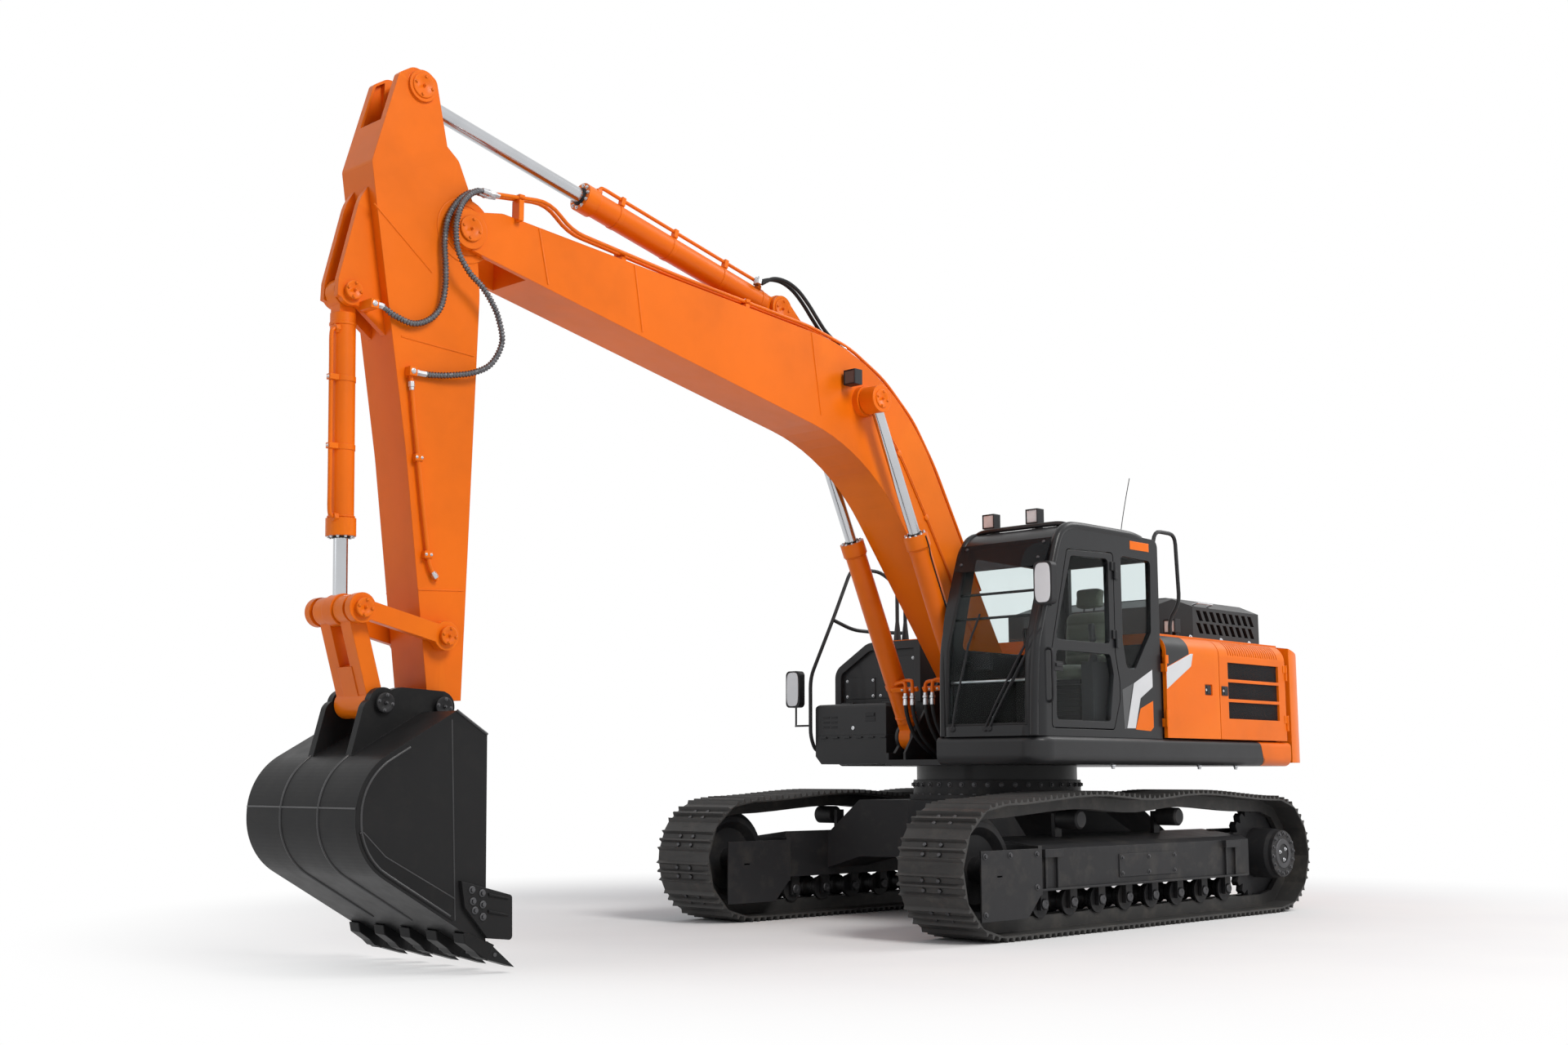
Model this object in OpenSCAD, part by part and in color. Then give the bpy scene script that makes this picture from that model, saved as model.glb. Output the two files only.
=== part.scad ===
// Crawler excavator of the thirty tonne class at its real size, in millimetres.
// X points forward, Y to the left and Z up. The origin is on the ground under the swing axis.
// It stands with the boom raised, the arm hanging down and the bucket teeth just off the ground.

/* [Undercarriage] */
// Distance between the idler and sprocket axles
tumbler_span = 4050; // [3900:10:4200]
// Distance between the middle lines of the two tracks
track_gauge = 2590; // [2500:10:2700]
// Width of the track shoes
shoe_w = 600; // [560:10:650]
// Number of shoes in one track
shoe_count = 48; // [46:1:50]
// Height of a grouser bar above its shoe
grouser_h = 30; // [22:1:36]
// Width of one track frame
frame_w = 450; // [420:5:470]
// Radius of the slew ring
slew_r = 720; // [660:10:760]

/* [Upper structure] */
// Overall width of the upper structure
house_w = 2990; // [2900:10:3100]
// Swing radius of the counterweight's rear face
tail_r = 3140; // [3060:10:3240]
// Height of the upper structure's underside above the ground
base_z = 1270; // [1230:5:1320]
// Height of the deck frame and its skirts
deck_h = 215; // [190:5:240]
// Height of the machinery covers above the deck
cover_h = 885; // [840:5:940]
// Distance from the swing axis back to the counterweight's front face
cover_l = 2440; // [2380:10:2480]
// Height of the engine hood above the covers
hood_h = 385; // [330:5:430]

/* [Cab] */
// Distance from the swing axis forward to the cab's front
cab_front = 1420; // [1360:10:1480]
// Length of the cab
cab_l = 1760; // [1700:10:1800]
// Height of the cab above the deck
cab_h = 1680; // [1600:10:1760]
// Thickness of the cab's walls and door
cab_wall = 48; // [45:1:70]
// Thickness of the panes
glass_t = 8; // [6:1:12]

/* [Boom] */
// Distance between the boom's foot and tip pins
boom_len = 6200; // [6000:10:6400]
// Width of the boom box
boom_w = 440; // [420:5:460]
// Thickness of the boom's plates
boom_plate = 20; // [14:1:26]

/* [Arm] */
// Distance between the arm's boom and bucket pins
arm_len = 3110; // [2980:10:3130]
// Width of the arm box
arm_w = 350; // [330:5:360]
// Thickness of the arm's plates
arm_plate = 18; // [12:1:24]

/* [Bucket] */
// Width of the bucket over its side plates
bucket_w = 1230; // [1100:10:1400]
// Distance from the bucket pin to the tooth tips
bucket_r = 1600; // [1500:10:1610]
// Thickness of the bucket's plates
bucket_plate = 28; // [20:1:36]
// Number of teeth
tooth_count = 5; // [4:1:6]

/* [Cylinders] */
// Distance between the middle lines of the two boom cylinders
cyl_spread = 690; // [680:5:710]
// Outer diameter of a boom cylinder's barrel
boom_barrel_d = 176; // [160:2:180]
// Diameter of a boom cylinder's rod
boom_rod_d = 95; // [85:1:105]
// Outer diameter of the arm cylinder's barrel
arm_barrel_d = 184; // [165:1:195]
// Diameter of the arm cylinder's rod
arm_rod_d = 105; // [90:1:115]
// Outer diameter of the bucket cylinder's barrel
bucket_barrel_d = 158; // [140:1:170]
// Diameter of the bucket cylinder's rod
bucket_rod_d = 90; // [80:1:100]
// Diameter of the pins
pin_d = 110; // [95:1:120]

/* [Hidden] */
$fn = 48;
// Largest angle between neighbouring points of a rounded corner, in degrees
arc_step = 4;
// Overrun of cuts past a face
over = 20;
// Gap between pieces that seat on each other
seat = 0.3;
// Gap round a moving panel
door_gap = 10;
// Side gap of pieces that turn beside each other
side_gap = 7;
// Reach that is wider than the whole machine, for cutting
far = 2 * tail_r;

// Colours
orange = [0.93, 0.36, 0.05];
grey = [0.22, 0.22, 0.23];
soot = [0.09, 0.09, 0.1];
chrome = [0.8, 0.8, 0.82];
pane = [0.3, 0.36, 0.38, 0.5];
silver = [0.75, 0.75, 0.76];

// Plane geometry: rounded outlines, insets and points turned into lengths
function flat(p) = [p[0], p[1]];
function flats(points) = [for (p = points) flat(p)];
function unit(v) = v / norm(v);
function left_of(v) = [-v[1], v[0]];
function before(list, i) = list[(i + len(list) - 1) % len(list)];
function after(list, i) = list[(i + 1) % len(list)];
function half_turn(a) = (a + 540) % 360 - 180;
function corner(p, a, b) =
  let (to_a = unit(flat(a) - flat(p)), to_b = unit(flat(b) - flat(p)))
  let (half = acos(to_a * to_b) / 2, middle = flat(p) + unit(to_a + to_b) * p[2] / sin(half))
  let (start = flat(p) + to_a * p[2] / tan(half) - middle,
    stop = flat(p) + to_b * p[2] / tan(half) - middle)
  let (first = atan2(start[1], start[0]), sweep = half_turn(atan2(stop[1], stop[0]) - first))
  let (steps = max(1, ceil(abs(sweep) / arc_step)))
  [for (i = [0:steps]) spoke(middle, p[2], first + sweep * i / steps)];
function rounded(points) = [
  for (i = [0:len(points) - 1])
    each points[i][2] == 0 ? [flat(points[i])] : corner(points[i], before(points, i), after(points, i))
];
function inset_point(p, a, b, d) =
  let (way_in = unit(flat(p) - flat(a)), way_out = unit(flat(b) - flat(p)))
  let (turn = way_in[0] * way_out[1] - way_in[1] * way_out[0])
  let (n1 = left_of(way_in), n2 = left_of(way_out), moved = flat(p) + d * (n1 + n2) / (1 + n1 * n2))
  [moved[0], moved[1], p[2] == 0 ? 0 : max(0, turn > 0 ? p[2] - d : p[2] + d)];
function inset(points, d) = [
  for (i = [0:len(points) - 1]) inset_point(points[i], before(points, i), after(points, i), d)
];
function placed(shares, size, at) = [for (p = shares) [at[0] + p[0] * size, at[1] + p[1] * size,
  p[2] * size]];
function spoke(at, r, a) = at + r * [cos(a), sin(a)];
function arc(middle, r, a0, a1) =
  let (steps = max(1, ceil(abs(a1 - a0) / arc_step)))
  [for (i = [0:steps]) spoke(middle, r, a0 + (a1 - a0) * i / steps)];

// A plane outline in X and Z, made solid across Y from y0 to y1
module slab_y(points, y0, y1) {
  translate([0, y1, 0]) rotate([90, 0, 0]) linear_extrude(y1 - y0) polygon(points);
}

// A plane outline in Y and Z, made solid along X from x0 to x1
module slab_x(points, x0, x1) {
  translate([x0, 0, 0]) rotate([90, 0, 90]) linear_extrude(x1 - x0) polygon(points);
}

// A plane outline in X and Y, made solid from z0 to z1
module slab_z(points, z0, z1) {
  translate([0, 0, z0]) linear_extrude(z1 - z0) polygon(points);
}

// A block between two corners
module block(low, high) {
  translate(low) cube(high - low);
}

// A cylinder across Y at a point [x, z]
module across(at, r, y0, y1) {
  translate([at[0], y1, at[1]]) rotate([90, 0, 0]) cylinder(r = r, h = y1 - y0);
}

// A straight bar between two points
module bar(a, b, r) {
  way = b - a;
  translate(a) rotate([0, acos(way[2] / norm(way)), atan2(way[1], way[0])]) cylinder(r = r, h = norm(way));
}

// A bent tube through a list of points: each corner is rounded over the given length, then swept
bend_steps = 4;
tube_sides = 10;
tube_ref = [0.21, 0.93, 0.3];
function bend_at(p, a, b, bend) =
  let (reach = min(bend, norm(a - p) / 2, norm(b - p) / 2))
  let (from = p + unit(a - p) * reach, to = p + unit(b - p) * reach)
  [for (i = [0:bend_steps])
    let (t = i / bend_steps) (1 - t) * (1 - t) * from + 2 * t * (1 - t) * p + t * t * to];
function bent(points, bend) = concat(
  [points[0]],
  [for (i = [1:len(points) - 2]) each bend_at(points[i], points[i - 1], points[i + 1], bend)],
  [points[len(points) - 1]]
);
function tube_way(route, i) = unit(route[min(i + 1, len(route) - 1)] - route[max(i - 1, 0)]);
function tube_ring(route, i, r, sides) =
  let (way = tube_way(route, i), side = unit(cross(way, tube_ref)), up = cross(side, way))
  [for (k = [0:sides - 1]) route[i] + r * (cos(360 * k / sides) * side + sin(360 * k / sides) * up)];
module sweep(route, r, sides) {
  rings = len(route);
  points = [for (i = [0:rings - 1]) each tube_ring(route, i, r, sides)];
  skin = [for (i = [0:rings - 2]) for (k = [0:sides - 1])
    let (n = (k + 1) % sides, a = i * sides, b = (i + 1) * sides) [a + k, a + n, b + n, b + k]];
  polyhedron(points, concat(skin, [[for (k = [sides - 1:-1:0]) k],
    [for (k = [0:sides - 1]) (rings - 1) * sides + k]]));
}
module tube(points, r, bend) {
  sweep(len(points) > 2 ? bent(points, bend) : points, r, tube_sides);
}

// The same piece on both sides of the machine
module pair() {
  children();
  mirror([0, 1, 0]) children();
}

// Track chain: its pins lie on one closed line round the sprocket and the idler
sprocket_teeth = 23;
shoe_drop = 55;
shoe_t = 14;
rail_h = 45;
rail_w = 46;
rail_slot = 92;
carrier_lift = 60;
top_sag = 38;
// Dip of the chain's straight links below their curve
chain_dip = 6;
carrier_x1 = 760;
carrier_x0 = -660;
axle_x = tumbler_span / 2;
track_y = track_gauge / 2;
pitch = 2 * tumbler_span / (shoe_count - sprocket_teeth / 2);
pin_r = sprocket_teeth * pitch / (4 * PI);
tip_r = pin_r + shoe_drop + shoe_t + grouser_h;
axle_z = tip_r;
// Shares of a shoe's pitch and of the grouser's height along one shoe with three grousers
shoe_shares = [
  [0.10, 0], [0.17, 1], [0.25, 0], [0.42, 0], [0.47, 1], [0.53, 1], [0.58, 0], [0.75, 0], [0.83, 1],
    [0.90, 0]
];
function wave(share) = (1 - cos(180 * share)) / 2;
function top_rise(x) =
  x > carrier_x1 ? carrier_lift * wave((axle_x - x) / (axle_x - carrier_x1)) :
  x < carrier_x0 ? carrier_lift * wave((axle_x + x) / (axle_x + carrier_x0)) :
  carrier_lift - top_sag * wave(2 * (x - carrier_x0) / (carrier_x1 - carrier_x0));
function chain_point(run) =
  let (half_arc = PI * pin_r)
  run < tumbler_span ? [axle_x - run, axle_z - pin_r] :
  run < tumbler_span + half_arc ?
    let (a = -90 - (run - tumbler_span) / half_arc * 180)
    spoke([-axle_x, axle_z], pin_r, a) :
  run < 2 * tumbler_span + half_arc ?
    let (x = run - tumbler_span - half_arc - axle_x)
    [x, axle_z + pin_r + top_rise(x)] :
    let (a = 90 - (run - 2 * tumbler_span - half_arc) / half_arc * 180)
    spoke([axle_x, axle_z], pin_r, a);
chain_pins = [for (i = [0:shoe_count - 1]) chain_point(i * pitch)];
function shoe_point(a, b, along, out) = a + (b - a) * along + left_of(unit(b - a)) * out;
function chain_line(out) = [
  for (i = [0:shoe_count - 1])
    chain_pins[i] + out * left_of(unit(after(chain_pins, i) - before(chain_pins, i)))
];
shoe_line = [
  for (i = [0:shoe_count - 1])
    for (s = shoe_shares)
      shoe_point(chain_pins[i], after(chain_pins, i), s[0], shoe_drop + shoe_t + s[1] * grouser_h)
];

module chain_ring(outer, inner, y0, y1) {
  difference() {
    slab_y(outer, y0, y1);
    slab_y(inner, y0 - over, y1 + over);
  }
}

module track_loop() {
  color(soot) translate([0, track_y, 0]) {
    chain_ring(shoe_line, chain_line(shoe_drop), -shoe_w / 2, shoe_w / 2);
    for (side = [-1, 1]) {
      middle = side * (rail_slot + rail_w) / 2;
      chain_ring(chain_line(shoe_drop + shoe_t / 2), chain_line(-rail_h), middle - rail_w / 2,
        middle + rail_w / 2);
    }
  }
}

module track_left() { track_loop(); }
module track_right() { mirror([0, 1, 0]) track_loop(); }

// Wheels of the undercarriage
rail_half = rail_slot / 2 + rail_w;
tread_r = (pin_r - rail_h) * cos(90 * pitch / (PI * pin_r)) - chain_dip / 3;
idler_lip = 14;
idler_half = rail_half + idler_lip;
idler_hub_r = 95;
idler_dish = 40;
flange_drop = 12;
flange_r = pin_r - flange_drop;
flange_half = rail_slot / 2 - flange_drop / 2;
tooth_half = 32;
drum_r = 215;
roller_count = 8;
roller_r = 85;
roller_rim_r = 104;
roller_lip = 20;
roller_half = rail_half + roller_lip;
roller_pitch = 380;
roller_z = axle_z - pin_r + rail_h + roller_r + seat;
carrier_r = 75;
carrier_flange = 14;
carrier_z = axle_z + pin_r + carrier_lift - rail_h - carrier_r - chain_dip;
shaft_r = 34;
bracket_gap = 4;
bracket_in = roller_half + bracket_gap;
bracket_t = 34;
drive_in = 125;
drive_plate = 45;
motor_r = 165;
motor_l = 150;
cover_r = 202;
cover_step = 35;
cover_reach = shoe_w / 2;

// A wheel turned about Y at [x, z], from points of radius and distance from the middle
module wheel(at, points) {
  translate([at[0], track_y, at[1]]) rotate([-90, 0, 0]) rotate_extrude() polygon(points);
}

// A profile and its mirror image, as one outline
function both_ways(points) = concat(points, [for (i = [len(points) - 1:-1:0]) [points[i][0],
  -points[i][1]]]);

module idlers() {
  color(soot) pair() wheel([axle_x, axle_z], both_ways([
    [0, -idler_half], [idler_hub_r, -idler_half], [idler_hub_r, -idler_dish],
      [tread_r - idler_hub_r, -idler_dish],
    [tread_r - idler_dish, -rail_half], [tread_r, -rail_half], [tread_r, -flange_half],
      [flange_r, -flange_half]
  ]));
}

tooth_in = 46;
tooth_over = 6;
tooth_root = pin_r - tooth_in;
tooth_tip = pin_r + tooth_over;
tooth_shares = [[0.04, 0], [0.3, 1], [0.7, 1], [0.96, 0]];
function tooth_point(i, s) =
  let (a = 360 * (i + s[0]) / sprocket_teeth, r = tooth_root + (tooth_tip - tooth_root) * s[1])
  r * [cos(a), sin(a)];
sprocket_line = [for (i = [0:sprocket_teeth - 1]) for (s = tooth_shares) tooth_point(i, s)];

module sprockets() {
  color(soot) pair() translate([-axle_x, 0, axle_z]) difference() {
    slab_y(sprocket_line, track_y - tooth_half, track_y + tooth_half);
    across([0, 0], drum_r + seat, track_y - tooth_half - over, track_y + tooth_half + over);
  }
}

module final_drives() {
  out_y = cover_reach - cover_step;
  color(soot) pair() {
    wheel([-axle_x, axle_z], [
      [0, -drive_in + seat], [drum_r, -drive_in + seat], [drum_r, out_y - cover_step],
      [cover_r, out_y], [cover_r, cover_reach], [0, cover_reach]
    ]);
    across([-axle_x, axle_z], motor_r, track_y - drive_in - drive_plate - motor_l,
      track_y - drive_in - drive_plate - seat);
  }
}

module roller(at) {
  wheel(at, both_ways([
    [0, seat - bracket_in], [shaft_r, seat - bracket_in], [shaft_r, -roller_half],
    [roller_rim_r, -roller_half], [roller_rim_r, -rail_half - seat], [roller_r, -rail_half - seat],
    [roller_r, -rail_slot / 2], [roller_r - idler_dish / 2, -rail_slot / 4]
  ]));
}

function roller_x(i) = (i - (roller_count - 1) / 2) * roller_pitch;

module track_rollers() {
  color(soot) pair() for (i = [0:roller_count - 1]) roller([roller_x(i), roller_z]);
}

module carrier_rollers() {
  color(soot) pair() for (x = [carrier_x1, carrier_x0]) wheel([x, carrier_z], [
    [0, -bracket_in + seat], [shaft_r, -bracket_in + seat], [shaft_r, -rail_half],
    [carrier_r, -rail_half], [carrier_r, rail_half],
      [carrier_r - carrier_flange, rail_half + carrier_flange],
    [0, rail_half + carrier_flange]
  ]);
}

// Track frames: box beams with sloped tops, idler yokes, roller brackets and end guards
beam_front_gap = 495;
beam_rear_gap = 465;
beam_front = axle_x - beam_front_gap;
beam_rear = beam_rear_gap - axle_x;
beam_z = roller_z + roller_rim_r + side_gap;
beam_out_h = 300;
beam_in_h = 380;
beam_slope = 60;
yoke_t = 45;
yoke_half = 95;
yoke_in = idler_half + seat;
end_plate = 25;
guard_t = 12;
guard_inset = 35;
guard_reach = 215;
guard_y = shoe_w / 2 - guard_inset;
guard_end = axle_x + guard_reach;
guard_low = 150;
guard_cut = 160;
guard_rise = 145;
guard_top = axle_z + guard_rise;
slot_l = 62;
slot_h = 12;
step_l = 230;
step_h = 60;
step_d = 40;
step_rib = 22;
step_front_x = 1350;
step_rear_x = -1240;
drive_round = 235;
post_half = 45;

beam_plate = 22;
beam_section = [
  [-frame_w / 2, beam_z, 0], [frame_w / 2, beam_z, 0], [frame_w / 2, beam_z + beam_out_h, 0],
  [frame_w / 2 - beam_slope, beam_z + beam_out_h + beam_slope / 2, 0], [-frame_w / 2, beam_z + beam_in_h, 0]
];

module track_frame() {
  out = frame_w / 2;
  color(soot) translate([0, track_y, 0]) {
    difference() {
      slab_x(flats(beam_section), beam_rear, beam_front);
      slab_x(flats(inset(beam_section, beam_plate)), beam_rear + beam_plate, beam_front - beam_plate);
    }
    pair() {
      block([beam_front - over, yoke_in, axle_z - yoke_half],
        [axle_x, yoke_in + yoke_t, axle_z + yoke_half]);
      across([axle_x, axle_z], yoke_half, yoke_in, yoke_in + yoke_t);
      difference() {
        slab_y([
          [beam_front, guard_low + guard_cut], [beam_front + guard_cut, guard_low], [guard_end, guard_low],
          [guard_end, guard_top], [beam_front, guard_top]
        ], guard_y - guard_t, guard_y);
        block([axle_x - slot_l / 2, guard_y - guard_t - over, axle_z - yoke_half / 2],
          [axle_x + slot_l / 2, guard_y + over, axle_z - yoke_half / 2 + slot_h]);
      }
      for (i = [0:roller_count - 1])
        block([roller_x(i) - post_half, bracket_in, roller_z - post_half],
          [roller_x(i) + post_half, bracket_in + bracket_t, beam_z + over]);
    }
    block([beam_front - over, -guard_y, guard_low + guard_cut],
      [beam_front + end_plate, guard_y, guard_top + over]);
    for (x = [carrier_x1, carrier_x0])
      block([x - post_half, -bracket_in - bracket_t, beam_z + beam_out_h - over],
        [x + post_half, -bracket_in, carrier_z + post_half]);
    block([-axle_x, -drive_in - drive_plate, beam_z - over],
      [beam_rear + over, -drive_in, beam_z + beam_in_h]);
    across([-axle_x, axle_z], drive_round, -drive_in - drive_plate, -drive_in);
    for (x = [step_front_x, step_rear_x]) {
      block([x - step_l / 2, out - over, beam_z + beam_out_h - step_h],
        [x + step_l / 2, out + step_d, beam_z + beam_out_h]);
      for (side = [-1, 1])
        block([x + side * step_l / 3 - step_rib / 2, out - over, beam_z],
          [x + side * step_l / 3 + step_rib / 2, out + step_d / 2, beam_z + beam_out_h - step_h + over]);
    }
  }
}

module track_frame_left() { track_frame(); }
module track_frame_right() { mirror([0, 1, 0]) track_frame(); }

// Centre frame: an X of box legs under the slew ring
belly_z = 500;
slew_z = 980;
slew_h = 170;
leg_low_z = 400;
leg_top_z = 690;
leg_near_x = 520;
leg_far_x = 1010;
hub_x = 780;
hub_y = 700;
car_y = track_y - frame_w / 2 - seat;
slew_ring_t = 130;
slew_lip = 30;
slew_lip_h = 45;
car_quarter = [[hub_x, hub_y / 2], [leg_far_x, car_y], [leg_near_x, car_y], [leg_near_x / 3, hub_y]];
car_front = concat([for (p = [3:-1:0]) [car_quarter[p][0], -car_quarter[p][1]]], car_quarter);
car_plan = concat(car_front, [for (p = car_front) -p]);
shoulder_y = slew_r + 2 * slew_lip;

car_plate = 30;
car_section = [
  [-car_y, leg_low_z, 0], [-shoulder_y, belly_z, 0], [shoulder_y, belly_z, 0], [car_y, leg_low_z, 0],
  [car_y, leg_top_z, 0], [shoulder_y, slew_z, 0], [-shoulder_y, slew_z, 0], [-car_y, leg_top_z, 0]
];

// The frame's form, drawn in by d
module car_form(d) {
  intersection() {
    slab_z(flats(inset([for (q = car_plan) [q[0], q[1], 0]], d)), leg_low_z - over, slew_z + over);
    slab_x(flats(inset(car_section, d)), -far, far);
  }
}

module center_frame() {
  bore = slew_r - 2 * slew_ring_t;
  color(soot) difference() {
    car_form(0);
    difference() {
      car_form(car_plate);
      translate([0, 0, belly_z]) cylinder(r = bore + car_plate, h = slew_z - belly_z);
    }
    translate([0, 0, belly_z - over]) cylinder(r = bore, h = slew_z - belly_z + 2 * over);
  }
}

module slew_ring() {
  color(soot) translate([0, 0, slew_z + seat]) rotate_extrude() polygon([
    [slew_r - slew_ring_t, 0], [slew_r + slew_lip, 0], [slew_r + slew_lip, slew_lip_h],
      [slew_r, slew_lip_h],
    [slew_r, slew_h], [slew_r - slew_ring_t, slew_h]
  ]);
}

// Pins of the working arm, as [x, z]
boom_foot = [257, 1987];
cyl_foot_off = [462, -476];
cyl_foot = boom_foot + cyl_foot_off;
boom_tip_share = [0.898, 0.440];
lift_pin_share = [0.2765, 0.3501];
crowd_base_share = [0.4051, 0.4535];
crowd_pin_share = [0.1167, 0.2850];
curl_base_share = [0.2505, -0.1753];
rocker_pin_share = [0.0352, -0.8573];
bucket_pin_share = [0.0393, -0.9994];
rocker_share = [0.1966, 0.0441];
link_pin_share = [0.2656, 0.0075];
arm_pin = boom_foot + boom_len * boom_tip_share;
lift_pin = boom_foot + boom_len * lift_pin_share;
crowd_base = boom_foot + boom_len * crowd_base_share;
crowd_pin = arm_pin + arm_len * crowd_pin_share;
curl_base = arm_pin + arm_len * curl_base_share;
rocker_pin = arm_pin + arm_len * rocker_pin_share;
bucket_pin = arm_pin + arm_len * bucket_pin_share;
curl_pin = rocker_pin + arm_len * rocker_share;
link_pin = bucket_pin + bucket_r * link_pin_share;
pin_in = pin_d / 2;
bore_r = pin_d / 2 + seat;

// Upper structure: deck frame with the boom brackets
deck_z = base_z + deck_h;
cover_z = deck_z + cover_h;
half_w = house_w / 2;
skirt_t = 115;
skirt_corner = 190;
side_y = half_w - skirt_t;
plate = 24;
cheek_t = 24;
bracket_y = boom_w / 2 + side_gap;
foot_r = 190;
cyl_y = cyl_spread / 2;
cyl_half = 62;
cyl_ear_t = 30;
cyl_ear_y = cyl_y + cyl_half + side_gap;
cyl_r = 112;
front_x = 950;
well_y = cyl_ear_y + cyl_ear_t;
well_x = 80;
cab_gap = 50;
cab_inset = 30;
cab_right = well_y + cab_gap;
cab_left = half_w - cab_inset;
cab_rear = cab_front - cab_l;
tank_front = 420;
deck_front = cab_front - skirt_t;
deck_corner = [[deck_front, half_w - skirt_corner], [cab_front - skirt_corner, side_y]];
bracket_back_x = cab_rear + door_gap;
slew_top = slew_z + slew_h + seat;
nose_top = 1375;

module swing_frame() {
  color(grey) {
    difference() {
      translate([0, 0, slew_top + seat]) cylinder(r = slew_r - slew_lip,
        h = base_z + plate - slew_top - seat);
      translate([0, 0, slew_top - over]) cylinder(r = slew_r - slew_ring_t,
        h = base_z + plate - slew_top + 2 * over);
    }
    slab_z([
      [-cover_l, -side_y], [tank_front, -side_y], [tank_front, -well_y], [front_x, -well_y],
        [front_x, cab_right],
      [deck_front, cab_right], each deck_corner, [-cover_l, side_y]
    ], base_z, base_z + plate);
    slab_z([
      [-cover_l, -side_y], [tank_front, -side_y], [tank_front, -well_y], [well_x, -well_y],
        [well_x, well_y],
      [deck_front, well_y], each deck_corner, [-cover_l, side_y]
    ], deck_z - plate, deck_z);
    block([well_x, well_y, base_z], [deck_front, well_y + plate, deck_z]);
    block([well_x, -well_y - plate, base_z], [tank_front, -well_y, deck_z]);
    block([seat - cw_front, -side_y, base_z], [plate - cover_l, side_y, deck_z]);
    block([deck_front - plate, well_y, base_z], [deck_front, deck_corner[0][1], deck_z]);
    block([front_x - plate, -well_y, base_z], [front_x, well_y, base_z + 2 * plate]);
    pair() {
      block([-cover_l, side_y - plate, base_z], [tank_front, side_y, deck_z]);
      slab_y([
        [bracket_back_x, base_z], [front_x, base_z], [front_x, nose_top], spoke(cyl_foot, cyl_r, 20),
        spoke(boom_foot, foot_r, 40), spoke(boom_foot, foot_r, 130),
        [bracket_back_x, deck_z + cyl_r]
      ], bracket_y, bracket_y + cheek_t);
      across(boom_foot, foot_r, bracket_y, bracket_y + cheek_t);
      slab_y([
        [cyl_foot[0] - 2 * cyl_r, base_z], [front_x, base_z], [front_x, nose_top],
        [cyl_foot[0] + 1.25 * cyl_r, nose_top], spoke(cyl_foot, cyl_r, -40),
        spoke(cyl_foot, cyl_r, 150)
      ], cyl_ear_y, cyl_ear_y + cyl_ear_t);
      across(cyl_foot, cyl_r, cyl_ear_y, cyl_ear_y + cyl_ear_t);
      across(cyl_foot, cyl_r, bracket_y, cyl_y - cyl_half - side_gap);
      across(cyl_foot, pin_in, bracket_y, cyl_ear_y + cyl_ear_t + side_gap);
    }
    across(boom_foot, pin_in, -bracket_y - cheek_t - side_gap, bracket_y + cheek_t + side_gap);
  }
}

// Rounded skirts along the deck's edge
skirt_low_r = 75;
skirt_top_r = 45;
skirt_end = cover_l - door_gap;
skirt_section = rounded([
  [0, base_z, 0], [skirt_t - seat, base_z, skirt_low_r], [skirt_t - seat, deck_z, skirt_top_r],
    [0, deck_z, 0]
]);

module side_skirts() {
  color(grey) {
    slab_x([for (p = skirt_section) [side_y + seat + p[0], p[1]]], -skirt_end, cab_front - skirt_corner);
    slab_x([for (p = skirt_section) [-side_y - seat - p[0], p[1]]], -skirt_end, tank_front);
    translate([cab_front - skirt_corner, half_w - skirt_corner, 0]) rotate_extrude(angle = 90)
      polygon([for (p = skirt_section) [skirt_corner - skirt_t + seat + p[0], p[1]]]);
    slab_y([for (p = skirt_section) [deck_front + seat + p[0], p[1]]], cab_right, half_w - skirt_corner);
  }
}

// Counterweight: turned about the swing axis, with rounded corners into the sides
cw_gap = 12;
cw_front = cover_l + cw_gap;
cw_lift = 32;
cw_low = base_z + cw_lift;
cw_drop = 6;
cw_top = cover_z - cw_drop;
cw_corner = 450;
cw_bottom_r = 120;
cw_crown = 235;
cw_shoulder = 360;
cw_bevel = 100;
cw_bevel_drop = 70;
cw_corner_y = half_w - cw_corner;
cw_corner_x = sqrt(pow(tail_r - cw_corner, 2) - pow(cw_corner_y, 2));
cw_turn = atan2(cw_corner_y, -cw_corner_x);
cw_pocket = 260;
cw_pocket_y = 1050;
cw_rim = 150;
lug_t = 45;
lug_h = 95;
lug_bore = 32;
lug_y = 600;
lug_x = -cw_front - 0.7 * cw_corner;
cw_plan = concat(
  [[-cw_front, -half_w], [-cw_front, half_w]],
  arc([-cw_corner_x, cw_corner_y], cw_corner, 90, cw_turn),
  arc([0, 0], tail_r + over, cw_turn, 360 - cw_turn),
  arc([-cw_corner_x, -cw_corner_y], cw_corner, 360 - cw_turn, 270)
);

module counterweight() {
  color(orange) {
    difference() {
      counterweight_form();
      block([-cw_front - cw_pocket, -cw_pocket_y, cw_low + cw_rim],
        [-cw_front + over, cw_pocket_y, cw_top - cw_rim]);
    }
    for (side = [-1, 1]) difference() {
      translate([lug_x, side * lug_y - lug_t / 2, cw_top - over]) cube([2 * lug_h, lug_t, lug_h + over]);
      across([lug_x + lug_h, cw_top + lug_h / 2], lug_bore, side * lug_y - lug_t, side * lug_y + lug_t);
    }
  }
}

module counterweight_form() {
  intersection() {
    slab_z(cw_plan, cw_low, cw_top);
    rotate_extrude($fn = 96) polygon(rounded([
      [0, cw_low, 0], [tail_r, cw_low, cw_bottom_r], [tail_r, cw_top - cw_crown, cw_bevel],
      [tail_r - cw_bevel, cw_top - cw_bevel_drop, cw_bevel], [tail_r - cw_shoulder, cw_top, cw_bevel],
        [0, cw_top, 0]
    ]));
  }
}

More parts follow.
